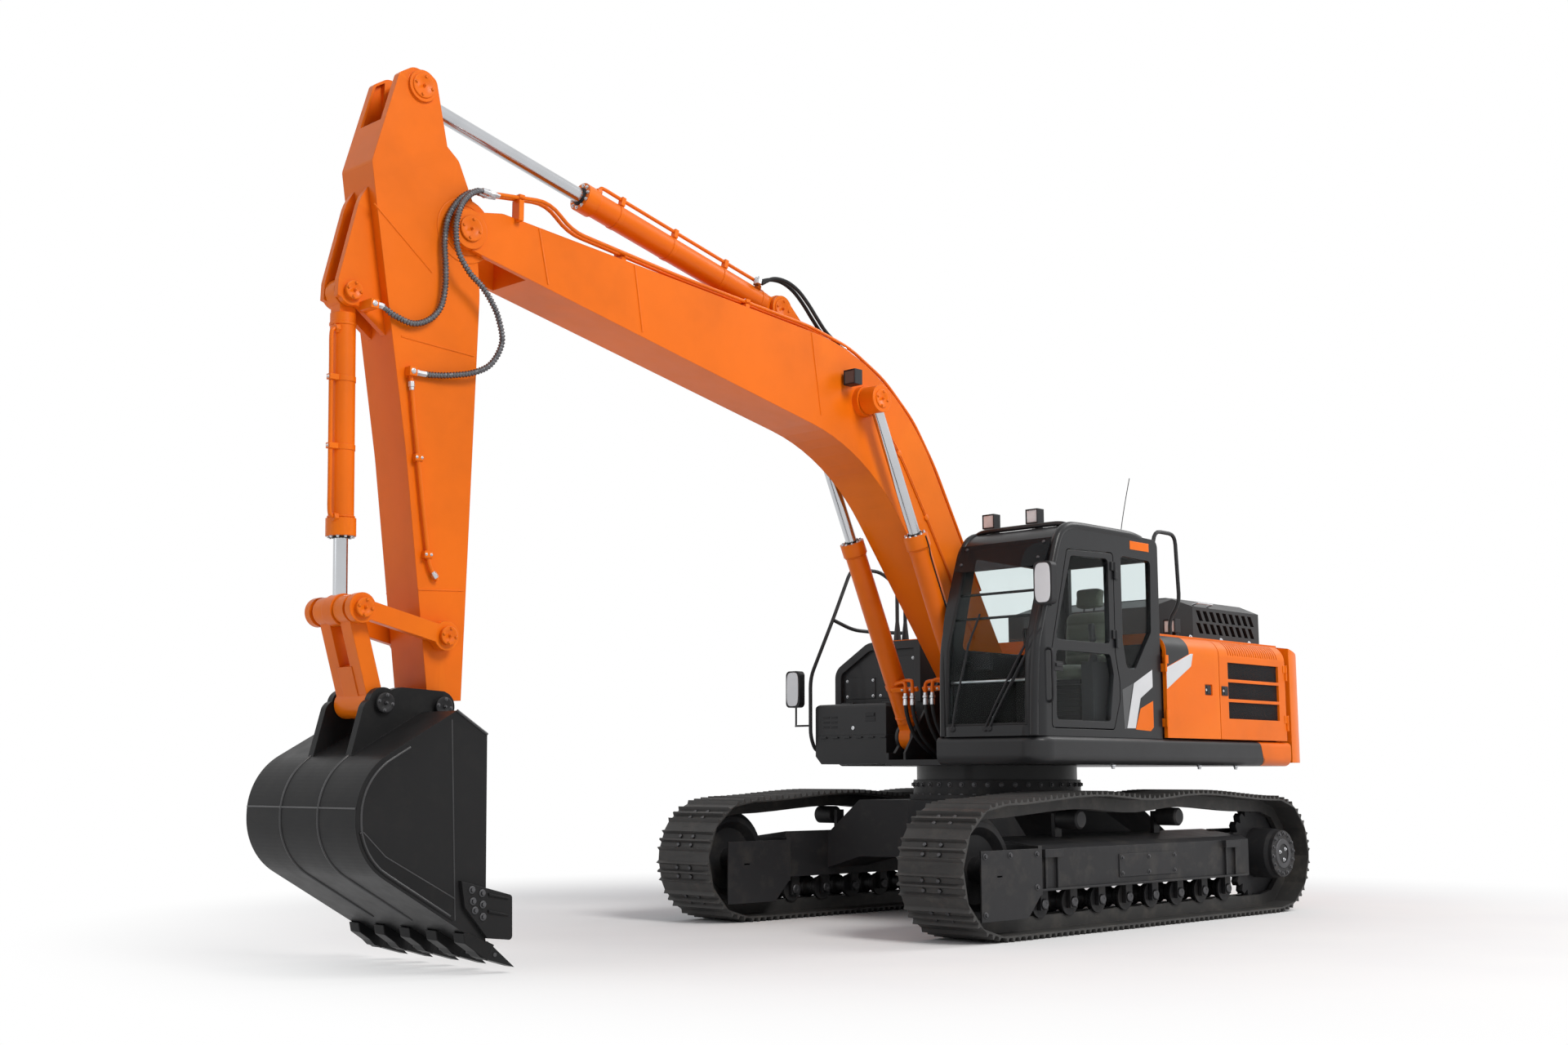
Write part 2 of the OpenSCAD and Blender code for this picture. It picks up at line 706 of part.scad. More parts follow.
// Engine with its pumps: one plain block, hollow
engine_l = 1000;
engine_w = 1500;
engine_h = 660;
engine_gap = 140;
engine_x = engine_gap - cover_l;
engine_wall = 60;

module engine() {
  color(grey) difference() {
    block([engine_x, -engine_w / 2, deck_z + seat], [engine_x + engine_l, engine_w / 2, deck_z + engine_h]);
    block([engine_x + engine_wall, engine_wall - engine_w / 2, deck_z + engine_wall],
      [engine_x + engine_l - engine_wall, engine_w / 2 - engine_wall, deck_z + engine_h - engine_wall]);
  }
}

// Machinery covers: side doors with rolled shoulders, fixed panels and deck
panel_t = 35;
roll_r = 150;
roll_in = 105;
post_top = cover_z - panel_t + seat;
door_low = deck_z + door_gap;
door_top = cover_z - door_gap;
door_front = cab_rear - 2 * cw_gap;
door_mid = -1220;
door_inset = 70;
door_end = door_inset - cover_l;
right_front = -580;
tank_rear = -560;
deck_edge = half_w - roll_in - door_gap;
function shell_section(low) = concat(
  [[half_w, low]], arc([half_w - roll_r, door_top - roll_r], roll_r, 0, 70),
  arc([half_w - roll_r, door_top - roll_r], roll_r - panel_t, 70, 0), [[half_w - panel_t, low]]
);

module side_panel(x0, x1) {
  slab_x(shell_section(door_low), x0, x1);
}

// A hinge beside an upright door edge: two knuckles on one upright pin line at [x, y]
knuckle_r = 11;
knuckle_h = 70;
leaf_t = 12;
leaf_l = 45;
hinge_out = 5;
hinge_off = 11;
hinge_lift = 3;
hinge_play = 1;

module knuckle(at, z) {
  translate([at[0], at[1], z]) cylinder(r = knuckle_r, h = knuckle_h);
}

// The door's half: it reaches along X by leaf_l towards way and sinks into the skin at y
module door_knuckle(at, z, way, skin) {
  knuckle(at, z + seat);
  x1 = at[0] + way * leaf_l;
  block([min(at[0], x1), skin - leaf_t / 2, z + seat], [max(at[0], x1), at[1], z + seat + knuckle_h]);
}

// The fixed half: it reaches along Y from y0
module post_knuckle(at, z, y0) {
  knuckle(at, z - knuckle_h);
  block([at[0] - leaf_t / 2, y0, z - knuckle_h], [at[0] + leaf_t / 2, at[1], z]);
}

hinge_rise = 170;
hinge_drop = 260;
hinge_zs = [deck_z + hinge_rise, cover_z - hinge_drop];
front_hinge = [door_front - door_gap + hinge_off, half_w + hinge_out];
rear_hinge = [door_end - hinge_off, half_w + hinge_out];
latch_w = 120;
latch_h = 95;
latch_d = 14;
latch_rise = 380;
latch_z = deck_z + latch_rise;

module left_front_door() {
  color(orange) {
    difference() {
      side_panel(door_mid + door_gap / 2, door_front - door_gap);
      block([door_mid + latch_w, half_w - latch_d, latch_z],
        [door_mid + 2 * latch_w, half_w + over, latch_z + latch_h]);
    }
    for (z = hinge_zs) door_knuckle(front_hinge, z, -1, half_w);
  }
}

grille_x0 = -2250;
grille_x1 = -1365;
grille_low = 190;
grille_z = deck_z + grille_low;
grille_h = 145;
grille_rise = 172;
grille_rows = 3;
grille_bar = 8;
grille_bars = 16;
slit_count = 22;
slit_w = 14;

module grille_door(x0, x1) {
  difference() {
    side_panel(x0, x1);
    for (row = [0:grille_rows - 1])
      block([grille_x0, half_w - panel_t - over, grille_z + row * grille_rise],
        [grille_x1, half_w + over, grille_z + row * grille_rise + grille_h]);
    for (i = [0:slit_count - 1]) {
      x = grille_x0 + (grille_x1 - grille_x0) * (i + 0.5) / slit_count;
      block([x - slit_w / 2, half_w - roll_in, door_top - roll_r * 0.9],
        [x + slit_w / 2, half_w + over, door_top - roll_r * 0.12]);
    }
  }
  for (i = [1:grille_bars - 1]) {
    x = grille_x0 + (grille_x1 - grille_x0) * i / grille_bars;
    block([x - grille_bar / 2, half_w - panel_t, grille_z - over / 2],
      [x + grille_bar / 2, half_w - panel_t + grille_bar, grille_z + grille_rows * grille_rise]);
  }
}

module left_rear_door() {
  color(orange) {
    grille_door(door_end, door_mid - door_gap / 2);
    for (z = hinge_zs) door_knuckle(rear_hinge, z, 1, half_w);
  }
}

module right_door() {
  color(orange) mirror([0, 1, 0]) {
    side_panel(door_end, door_mid);
    for (z = hinge_zs) door_knuckle(rear_hinge, z, 1, half_w);
  }
}

hood_back = 110;
hood_x0 = -cover_l - hood_back;
hood_x1 = -1140;
hood_y0 = -700;
hood_y1 = 1150;
hood_cut = 250;
hood_bevel = 75;
hood_lip = 26;
hood_wall = 30;
hood_edge = 60;
hood_hinge = [hood_x1 + knuckle_r + hinge_lift, cover_z + knuckle_r];
hood_ys = [hood_y0 + hood_cut, hood_y1 - 2 * hood_cut];

module engine_covers() {
  color(orange) {
    difference() {
      block([-cover_l, -deck_edge, cover_z - panel_t], [door_front, deck_edge, cover_z]);
      block([hood_x0 + 2 * hood_edge + hood_back, hood_y0 + hood_edge, cover_z - panel_t - over],
        [hood_x1 - hood_edge - hood_cut, hood_y1 - hood_edge, cover_z + over]);
      block([tank_rear - door_gap, -half_w, cover_z - panel_t - over],
        [door_front + over, -well_y, cover_z + over]);
    }
    block([door_front - panel_t, -well_y, deck_z + seat], [door_front, deck_edge, post_top]);
    mirror([0, 1, 0]) side_panel(door_mid + door_gap, right_front);
    pair() {
      block([-cover_l, deck_edge - plate, deck_z + seat], [door_end - leaf_t / 2, deck_edge, post_top]);
      for (z = hinge_zs) post_knuckle(rear_hinge, z, deck_edge - plate);
    }
    for (z = hinge_zs) post_knuckle(front_hinge, z, deck_edge - plate);
    for (y = hood_ys) {
      across(hood_hinge, knuckle_r, y - knuckle_h, y);
      block([hood_hinge[0], y - knuckle_h, cover_z - over], [hood_hinge[0] + leaf_l, y, cover_z + leaf_t]);
    }
    block([door_front - panel_t, deck_edge - plate, deck_z + seat],
      [front_hinge[0] + leaf_t / 2, deck_edge, post_top]);
    block([door_mid + door_gap, -half_w + panel_t - seat, deck_z + seat],
      [door_mid + door_gap + plate, -deck_edge + plate, post_top]);
  }
}

hood_plan = [
  [hood_x0, hood_y0], [hood_x1, hood_y0], [hood_x1, hood_y1 - hood_cut], [hood_x1 - hood_cut, hood_y1],
    [hood_x0, hood_y1]
];
hood_z = cover_z + seat;
hood_top = hood_z + hood_h;
louvre_count = 9;
louvre_h = 92;
louvre_rise = 112;
louvre_low = 75;
louvre_w = 62;
louvre_slant = 55;
louvre_x0 = hood_x0 + hood_bevel;
louvre_x1 = hood_x1 - hood_cut - hood_bevel;

module hood_form(d) {
  flat_plan = [for (p = hood_plan) [p[0], p[1], 0]];
  edge_z = hood_top - hood_bevel - d / 2;
  intersection() {
    slab_z(flats(inset(flat_plan, d)), hood_z - (d > 0 ? over : 0), hood_top - d);
    slab_x([
      [hood_y0 + d, hood_z - over], [hood_y1 - d, hood_z - over],
        [hood_y1 - d, edge_z],
      [hood_y1 - 2 * hood_bevel - d / 2, hood_top - d], [hood_y0 + 2 * hood_bevel + d / 2, hood_top - d],
      [hood_y0 + d, edge_z]
    ], -far, far);
    slab_y([
      [hood_x0 + d, hood_z - over], [hood_x1 - d, hood_z - over],
        [hood_x1 - d, edge_z],
      [hood_x1 - 2 * hood_bevel - d / 2, hood_top - d], [hood_x0 + hood_bevel + d / 2, hood_top - d],
      [hood_x0 + d, edge_z]
    ], -far, far);
  }
}

module engine_hood() {
  color(grey) {
    difference() {
      hood_form(0);
      hood_form(hood_wall);
      for (row = [0:1])
        for (i = [0:louvre_count - 1]) {
          x = louvre_x0 + (louvre_x1 - louvre_x0) * (i + 0.1) / louvre_count;
          z = hood_z + louvre_low + row * louvre_rise;
          slab_y([[x, z], [x + louvre_w, z], [x + louvre_w + louvre_slant, z + louvre_h],
            [x + louvre_slant, z + louvre_h]],
            hood_y1 - hood_wall - over, hood_y1 + over);
        }
    }
    for (y = hood_ys) {
      across(hood_hinge, knuckle_r - seat, y + seat, y + knuckle_h);
      block([hood_x1 - hood_wall / 2, y + seat, hood_hinge[1]],
        [hood_hinge[0], y + knuckle_h, hood_hinge[1] + leaf_t / 2]);
    }
    block([hood_x0 + 3 * hood_bevel, hood_y0 + 3 * hood_bevel, hood_top - hood_wall / 2],
      [hood_x1 - 4 * hood_bevel, hood_y1 - 4 * hood_bevel, hood_top + hood_lip]);
  }
}

// Fuel tank with a rolled shoulder, and the tool box with its step in front of it
tank_inset = 15;
tank_y0 = tank_inset - half_w;
tank_y1 = -well_y - plate;
tank_roll = 400;
tank_drop = 235;
tank_wall = 12;
tank_band = 70;
filler_r = 70;
filler_h = 90;
tank_section = [
  [tank_y1, deck_z + seat, 0], [tank_y1, cover_z, 0], [tank_y0 + tank_roll, cover_z, tank_roll / 2],
  [tank_y0, cover_z - tank_drop, tank_roll / 3], [tank_y0, deck_z + seat, 0]
];

module fuel_tank() {
  color(grey) difference() {
    slab_x(rounded(tank_section), tank_rear, tank_front);
    slab_x(rounded(inset(tank_section, tank_wall)), tank_rear + tank_wall, tank_front - tank_wall);
  }
  color(grey) difference() {
    slab_x(rounded(tank_section), tank_front, tank_front + tank_band / 2);
    slab_x(rounded(inset(tank_section, tank_band)), tank_front - over, tank_front + tank_band);
    block([tank_front - over, tank_y0 - over, deck_z - over],
      [tank_front + tank_band, tank_y1 + over, box_top + door_gap]);
  }
  color(orange) translate([(tank_front + tank_rear) / 2, tank_y1 - 2 * filler_r,
    cover_z - tank_wall]) cylinder(r = filler_r, h = filler_h + tank_wall);
}

box_x0 = tank_front + seat;
box_x1 = 745;
box_inset = 40;
box_gap = 150;
box_y0 = box_inset - half_w;
box_y1 = tank_y1 - box_gap;
box_low = base_z + tank_inset;
box_mid = 1540;
box_top = 1815;
box_wall = 20;
box_round = 40;
box_cut = 70;
step_tread = 14;
tread_count = 6;
lid_x = tank_front + tank_band / 2 + door_gap;
lid_hinge = [lid_x, box_top + knuckle_r + hinge_lift];
lid_ys = [box_y0 + 2 * box_cut, box_y1 - 3 * box_cut];

module toolbox() {
  color(grey) {
    difference() {
      slab_x(rounded([
        [box_y0 + box_cut, box_low, 0], [box_y1, box_low, 0], [box_y1, box_mid, 0], [box_y0, box_mid, 0],
        [box_y0, box_low + box_cut, 0]
      ]), box_x0, box_x1);
      block([box_x0 + box_wall, box_y0 + box_cut, box_low + box_wall],
        [box_x1 - box_wall, box_y1 - box_wall, box_mid - box_wall]);
    }
    for (i = [0:tread_count - 1])
      block([box_x1 - over, box_y0 + box_cut + i * 2 * box_cut, box_mid - 2 * step_tread],
        [box_x1 + step_tread, box_y0 + box_cut + (i * 2 + 1) * box_cut, box_mid - step_tread]);
    for (y = lid_ys) {
      block([box_x0, y - knuckle_h, box_mid - over], [lid_x - door_gap, y, lid_hinge[1]]);
      block([box_x0, y - knuckle_h, lid_hinge[1] - leaf_t / 2], [lid_x, y, lid_hinge[1] + leaf_t / 2]);
      across(lid_hinge, knuckle_r, y - knuckle_h, y);
    }
  }
}

module toolbox_lid() {
  low = box_mid + seat;
  color(grey) for (y = lid_ys) {
    across(lid_hinge, knuckle_r, y + seat, y + knuckle_h);
    block([lid_x, y + seat, box_top - leaf_t], [lid_x + leaf_l, y + knuckle_h, lid_hinge[1]]);
  }
  color(grey) difference() {
    intersection() {
      block([lid_x, box_y0, low], [box_x1, box_y1, box_top]);
      slab_y(rounded([
        [box_x0, low, 0], [box_x1, low, 0], [box_x1, box_top, box_round], [box_x0, box_top, 0]
      ]), box_y0 - over, box_y1 + over);
      slab_x(rounded([
        [box_y0, low, 0], [box_y1, low, 0], [box_y1, box_top, box_round], [box_y0, box_top, box_round]
      ]), box_x0 - over, box_x1 + over);
    }
    block([lid_x + box_wall, box_y0 + box_wall, low - over],
      [box_x1 - box_wall, box_y1 - box_wall, box_top - box_wall]);
  }
}

// Cab: one profile across its width, hollow, with its windows cut
cab_z = deck_z + seat;
cab_top = deck_z + cab_h;
brow_shares = [[1, 0], [0.985, 0.42], [0.792, 1], [0, 0.985], [0, 0]];
cab_brow_r = 1200;
cab_roof_r = 330;
cab_back_r = 70;
cab_plan_r = 150;
function cab_point(share, d) = [
  cab_rear + d + share[0] * (cab_l - 2 * d), cab_z + d + share[1] * (cab_top - cab_z - 2 * d)
];
function cab_profile(d) = rounded([
  for (i = [0:len(brow_shares) - 1])
    let (p = cab_point(brow_shares[i], d), r = [0, cab_brow_r, cab_roof_r, cab_back_r, 0][i])
    [p[0], p[1], r == 0 ? 0 : max(seat, r - d)]
]);
function cab_plan(d) = rounded([
  [cab_rear + d, cab_right + d, 0], [cab_front - d, cab_right + d, cab_plan_r],
    [cab_front - d, cab_left - d, cab_plan_r],
  [cab_rear + d, cab_left - d, 0]
]);

// The cab's whole form, drawn in by d on every side
module cab_form(d) {
  intersection() {
    slab_y(cab_profile(d), cab_right + d, cab_left - d);
    slab_z(cab_plan(d), cab_z + d - over, cab_top + over);
  }
}

door_shares = [
  [0.40, 0.035], [0.885, 0.035], [0.875, 0.40], [0.745, 0.875], [0.375, 0.89], [0.375, 0.40],
    [0.345, 0.27], [0.345, 0.18]
];
upper_pane = [[0.42, 0.445], [0.845, 0.445], [0.715, 0.845], [0.42, 0.855]];
lower_pane = [[0.43, 0.075], [0.845, 0.075], [0.84, 0.395], [0.42, 0.395], [0.395, 0.30]];
rear_pane = [[0.215, 0.335], [0.285, 0.335], [0.315, 0.46], [0.315, 0.88], [0.065, 0.875],
  [0.075, 0.52]];
right_pane = [[0.10, 0.42], [0.84, 0.42], [0.72, 0.875], [0.10, 0.865]];
pane_r = 40;
front_sill_share = 0.05;
front_head_share = 0.90;
front_post = 95;
back_sill_share = 0.47;
back_head_share = 0.88;
pane_depth = 22;

function cab_outline(shares) = rounded([for (s = shares) let (p = cab_point(s, 0)) [p[0], p[1], pane_r]]);
function door_line(d) = rounded(inset([for (s = door_shares) let (p = cab_point(s, 0)) [p[0], p[1],
  pane_r]], d));
function cab_height(share) = cab_z + share * (cab_top - cab_z);

module left_cut(points) { slab_y(points, cab_left - cab_wall - over, cab_left + over); }
module right_cut(points) { slab_y(points, cab_right - over, cab_right + cab_wall + over); }
module front_cut() {
  block([cab_rear + cab_l / 2, cab_right + front_post, cab_height(front_sill_share)],
    [cab_front + over, cab_left - front_post, cab_height(front_head_share)]);
}
module back_cut() {
  block([cab_rear - over, cab_right + front_post, cab_height(back_sill_share)],
    [cab_rear + cab_wall + over, cab_left - front_post, cab_height(back_head_share)]);
}

hatch_l = 620;
hatch_h = 26;

module cab_shell() {
  color(grey) {
    difference() {
      cab_form(0);
      cab_form(cab_wall);
      front_cut();
      back_cut();
      left_cut(door_line(0));
      left_cut(cab_outline(rear_pane));
      right_cut(cab_outline(right_pane));
    }
    block([cab_rear + hatch_l / 2, cab_right + front_post, cab_top - over],
      [cab_rear + 1.5 * hatch_l, cab_left - 2 * front_post, cab_top + hatch_h]);
    for (z = cab_zs) {
      knuckle(cab_hinge, z - knuckle_h);
      block([cab_hinge[0] - leaf_l, cab_left - leaf_t / 2, z - knuckle_h], [cab_hinge[0], cab_hinge[1], z]);
    }
  }
}

module cab_glass() {
  color(pane) intersection() {
    difference() {
      cab_form(pane_depth);
      cab_form(pane_depth + glass_t);
    }
    union() {
      front_cut();
      back_cut();
      left_cut(cab_outline(rear_pane));
      right_cut(cab_outline(right_pane));
    }
  }
}

// The door hinges on the post behind it
cab_hinge = [cab_point(door_shares[5], 0)[0], cab_left + knuckle_r + hinge_play];
cab_zs = [cab_height(0.47), cab_height(0.80)];

module cab_door() {
  color(grey) {
    difference() {
      slab_y(door_line(door_gap), cab_left - cab_wall, cab_left);
      left_cut(cab_outline(upper_pane));
      left_cut(cab_outline(lower_pane));
    }
    for (z = cab_zs) door_knuckle(cab_hinge, z, 1, cab_left);
  }
}

module door_glass() {
  y0 = cab_left - pane_depth - glass_t;
  color(pane) {
    slab_y(cab_outline(upper_pane), y0, y0 + glass_t);
    slab_y(cab_outline(lower_pane), y0, y0 + glass_t);
  }
}

// Inside of the cab
seat_in = 560;
seat_x = cab_rear + seat_in;
seat_y = (cab_left + cab_right) / 2;
seat_w = 500;
seat_l = 500;
seat_t = 130;
seat_rise = 420;
floor_z = cab_z + cab_wall;
seat_z = floor_z + seat_rise;
back_h = 620;
back_t = 120;
head_w = 280;
head_h = 190;
base_w = 360;
seat_rear = seat_x - seat_l / 2;

module seat_unit() {
  color(grey) {
    block([seat_x - base_w / 2, seat_y - base_w / 2, floor_z + seat],
      [seat_x + base_w / 2, seat_y + base_w / 2, seat_z + over]);
    slab_y(rounded([
      [seat_rear, seat_z, 0], [seat_x + seat_l / 2, seat_z, seat_t / 3],
        [seat_x + seat_l / 2, seat_z + seat_t, seat_t / 3],
      [seat_rear + back_t, seat_z + seat_t, seat_t / 4],
        [seat_rear + back_t / 2, seat_z + back_h, seat_t / 4],
      [seat_rear - back_t / 2, seat_z + back_h, seat_t / 4]
    ]), seat_y - seat_w / 2, seat_y + seat_w / 2);
    slab_y(rounded([
      [seat_rear - back_t / 2, seat_z + back_h - over, 0],
        [seat_rear + back_t / 2, seat_z + back_h - over, 0],
      [seat_rear + back_t / 3, seat_z + back_h + head_h, back_t / 4],
      [seat_rear - back_t / 2, seat_z + back_h + head_h, back_t / 4]
    ]), seat_y - head_w / 2, seat_y + head_w / 2);
  }
}

console_w = 110;
console_l = 560;
console_h = 560;
lever_r = 16;
lever_h = 190;
pedal_h = 260;
console_gap = 20;
console_y = seat_y - seat_w / 2 - console_w - console_gap;

module controls() {
  color(soot) {
    for (y = [console_y, seat_y + seat_w / 2 + console_gap]) {
      block([seat_x - console_l / 2, y, floor_z + seat],
        [seat_x + console_l / 2, y + console_w, floor_z + console_h]);
      bar([seat_x + console_l / 3, y + console_w / 2, floor_z + console_h - over],
        [seat_x + console_l / 3, y + console_w / 2, floor_z + console_h + lever_h], lever_r);
      translate([seat_x + console_l / 3, y + console_w / 2,
        floor_z + console_h + lever_h]) sphere(r = 2 * lever_r);
    }
    for (side = [-1, 1]) {
      y = seat_y + side * base_w / 4;
      bar([seat_x + seat_l, y, floor_z + seat + lever_r],
        [seat_x + seat_l, y, floor_z + pedal_h + console_h], lever_r);
      block([seat_x + seat_l - base_w / 8, y - base_w / 8, floor_z + seat],
        [seat_x + seat_l + base_w / 3, y + base_w / 8, floor_z + console_w / 3]);
    }
  }
}

// Handrails, mirrors and lamps
rail_r = 17;
rail_bend = 90;
post_y = tank_y0;
rail_foot = 120;
rail_foot_y = box_y0 - rail_r - seat;
// Shares of the cab's height from the tool box's top step, then from the cab's upper rear corner
rail_shares = [
  [0.0238, 0, 0.0268], [0.0238, 0, 0.3423], [-0.1458, 0.0119, 0.6696], [-0.2827, 0.0238, 0.9554],
  [-0.5149, 0.0357, 0.9554], [-0.5982, 0.2857, 0.7232]
];
branch_shares = [
  [-0.1429, 0.0119, 0.6637], [-0.2470, 0.0655, 0.6101], [-0.4077, 0.0774, 0.6071], [-0.4435, 0.2857, 0.5923]
];
back_shares = [
  [-0.0357, -0.0357, 0.0417], [-0.2262, -0.0357, 0.0417], [-0.25, -0.0357, -0.3095],
    [-0.25, -0.0952, -0.3839]
];
function rail_spots(base, shares) = [for (s = shares) base + cab_h * s];
function standing(points) = concat(points, [let (p = points[len(points) - 1]) [p[0], p[1],
  cover_z + seat]]);
step_corner = [box_x1, post_y, deck_z];
cab_corner = [cab_rear, cab_left, cab_top];
rail_points = concat(
  [for (x = [rail_foot, rail_r]) [box_x1 - x, rail_foot_y, box_low + rail_foot]],
  standing(rail_spots(step_corner, rail_shares))
);
rail_branch = standing(rail_spots(step_corner, branch_shares));
back_rail = concat(
  [[cab_rear - rail_r - seat, cab_left + cab_h * back_shares[0][1], cab_top - rail_foot]],
  standing(rail_spots(cab_corner, back_shares))
);
deck_posts = [[300, -860], [190, -860]];
deck_post_h = 640;
boot_r = 38;
boot_h = 190;

module handrails() {
  color(grey) {
    tube(rail_points, rail_r, rail_bend);
    tube(rail_branch, rail_r, rail_bend);
    tube(back_rail, rail_r, rail_bend);
    for (p = deck_posts) {
      bar([p[0], p[1], cover_z + seat], [p[0], p[1], cover_z + deck_post_h], rail_r);
      translate([p[0], p[1], cover_z + seat]) cylinder(r1 = boot_r, r2 = rail_r, h = boot_h);
    }
    bar([deck_posts[0][0], deck_posts[0][1], cover_z + deck_post_h],
      [deck_posts[1][0], deck_posts[1][1], cover_z + deck_post_h], rail_r);
  }
}

mirror_w = 170;
mirror_h = 330;
mirror_t = 70;
mirror_arm_r = 9;
mirror_bend = 40;
mirror_out = 190;
mirror_z = 1960;
mirror_at = [rail_points[2][0], post_y - mirror_out, mirror_z];
left_mirror_off = [-60, 70, -520];
left_mirror_at = [cab_front, cab_left, cab_top] + left_mirror_off;
mirror_foot_share = [0.88, 0.60];

module mirror_head(at) {
  translate(at) slab_x(rounded([
    [-mirror_w / 2, -mirror_h / 2, mirror_w / 4], [mirror_w / 2, -mirror_h / 2, mirror_w / 4],
      [mirror_w / 2, mirror_h / 2, mirror_w / 4],
    [-mirror_w / 2, mirror_h / 2, mirror_w / 4]
  ]), -mirror_t / 2, mirror_t / 2);
}

module mirrors() {
  color(grey) {
    mirror_head(mirror_at);
    tube([
      mirror_at, mirror_at + [-mirror_t, 0, 0], mirror_at + [-mirror_t, -mirror_w / 3, 0],
        mirror_at + [-mirror_t, -mirror_w / 3, -mirror_h],
      mirror_at + [0, 0, -mirror_h], [mirror_at[0], post_y - rail_r, mirror_at[2] - mirror_h]
    ], mirror_arm_r, mirror_bend);
    mirror_head(left_mirror_at);
    tube([
      left_mirror_at, left_mirror_at + [-mirror_t, 0, 0], left_mirror_at + [-mirror_t, 0, -mirror_h / 2],
      [cab_rear + mirror_foot_share[0] * cab_l, cab_left + 0.82 * mirror_arm_r + seat,
        cab_height(mirror_foot_share[1])]
    ], mirror_arm_r, mirror_bend);
  }
}

lamp_w = 120;
lamp_h = 120;
lamp_t = 80;
lamp_stem = 90;
lamp_back = 660;
lamp_ins = [420, 110];
deck_lamp_off = [120, 40];
lamp_x = cab_front - lamp_back;
// Height of the slightly sloped roof under the lamps
roof_share = (lamp_x + lamp_t / 2 - cab_rear) / cab_l / brow_shares[2][0];
roof_z = cab_height(brow_shares[3][1] + (1 - brow_shares[3][1]) * min(1, roof_share));

module lamp(at, lift) {
  translate(at) {
    block([0, -lamp_w / 2, lift], [lamp_t, lamp_w / 2, lift + lamp_h]);
    block([-lamp_t / 2, -lamp_w / 6, 0], [over, lamp_w / 6, lift + lamp_h / 2]);
    block([-lamp_t / 2, -lamp_w / 4, 0], [lamp_t / 2, lamp_w / 4, over / 2]);
  }
}

module work_lamps() {
  color(soot) {
    lamp([lamp_x, cab_left - lamp_ins[0], roof_z + seat], lamp_stem / 2);
    lamp([lamp_x, cab_right + lamp_ins[1], roof_z + seat], lamp_stem / 2);
    lamp([hood_x1 + deck_lamp_off[0], hood_y1 + deck_lamp_off[1], cover_z + seat], lamp_stem / 2);
  }
}

// Boom: a hollow plate box with a bent spine, a forked tip and bosses for the cylinders
boom_shares = [
  [0.021, -0.0235, 0], [0.270, 0.287, 0.29], [0.893, 0.4185, 0], [0.912, 0.4565, 0], [0.855, 0.4675, 0.02],
  [0.2134, 0.4133, 0.3055], [-0.0262, 0.0166, 0]
];
fork_share = 0.818;
tip_boss_r = 132;
boss_t = 18;
fork_gap = 7;
lift_r = 125;
boom_foot_r = 185;
crowd_ear_t = 30;
crowd_half = 62;
crowd_r = 105;
crowd_lug_l = 420;
boom_line = placed(boom_shares, boom_len, boom_foot);
fork_x = boom_foot[0] + fork_share * boom_len;
lift_boss_y = cyl_y - cyl_half - side_gap;

module boom() {
  half = boom_w / 2;
  fork_half = arm_w / 2 + fork_gap;
  color(orange) difference() {
    union() {
      slab_y(rounded(boom_line), -half, half);
      across(boom_foot, boom_foot_r, -half, half);
      across(arm_pin, tip_boss_r, -half - boss_t, half + boss_t);
      across(lift_pin, lift_r, -lift_boss_y, lift_boss_y);
      pair() {
        y0 = crowd_half + side_gap;
        across(crowd_base, crowd_r, y0, y0 + crowd_ear_t);
        slab_y([
          crowd_base + [-crowd_lug_l, -2.4 * crowd_r],
            crowd_base + [crowd_lug_l / 4, -2.2 * crowd_r],
          spoke(crowd_base, crowd_r, 10), spoke(crowd_base, crowd_r, 110)
        ], y0, y0 + crowd_ear_t);
      }
      across(crowd_base, pin_in, -crowd_half - side_gap - over, crowd_half + side_gap + over);
      for (s = clip_shares)
        block(boom_spot(s, pipe_y - pipe_gap - pipe_r + pipe_shift(s)) - [clip_l / 2, 0, over],
          boom_spot([s[0], s[2]], pipe_y + pipe_r + pipe_shift(s)) + [clip_l / 2, 0, -pipe_r - clip_rise]);
    }
    difference() {
      slab_y(rounded(inset(boom_line, boom_plate)), -half + boom_plate, half - boom_plate);
      across(boom_foot, foot_r + boom_plate, -half, half);
      block([fork_x - boom_plate, -half, 0], [fork_x + boom_len, half, boom_len]);
    }
    block([fork_x, -fork_half, 0], [fork_x + boom_len, fork_half, boom_len]);
    across(boom_foot, bore_r, -half - over, half + over);
  }
  color(silver) across(arm_pin, pin_in, -boom_w / 2 - boss_t - side_gap, boom_w / 2 + boss_t + side_gap);
}

// Pipes along the boom's left edge, on brackets
pipe_r = 14;
pipe_bend = 120;
pipe_gap = 50;
pipe_inset = 25;
pipe_y = boom_w / 2 - pipe_inset;
pipe_shares = [
  [0.030, 0.123], [0.126, 0.284], [0.171, 0.342], [0.229, 0.388], [0.2955, 0.419], [0.3676, 0.434],
    [0.60, 0.4535],
  [0.765, 0.4675], [0.7955, 0.4931], [0.877, 0.4835]
];
// Pipe stands: share along the boom, height of its top face there and height of the pipes
clip_shares = [[0.4838, 0.43615, 0.44375], [0.6825, 0.45294, 0.4605], [0.836, 0.4659, 0.4883]];
clip_share = 0.07;
clip_l = 40;
clip_rise = 2;

// Sideways shift of the pipes past the boom's fork
pipe_out = 60;
function pipe_shift(share) = share[0] < fork_share - clip_share ? 0 : pipe_out;
function boom_spot(share, y) = [boom_foot[0] + share[0] * boom_len, y, boom_foot[1] + share[1] * boom_len];
function boom_pipe(k) = [for (s = pipe_shares) boom_spot(s, pipe_y - k * pipe_gap + pipe_shift(s))];

module boom_pipes() {
  color(orange) for (k = [0, 1]) tube(boom_pipe(k), pipe_r, pipe_bend);
}

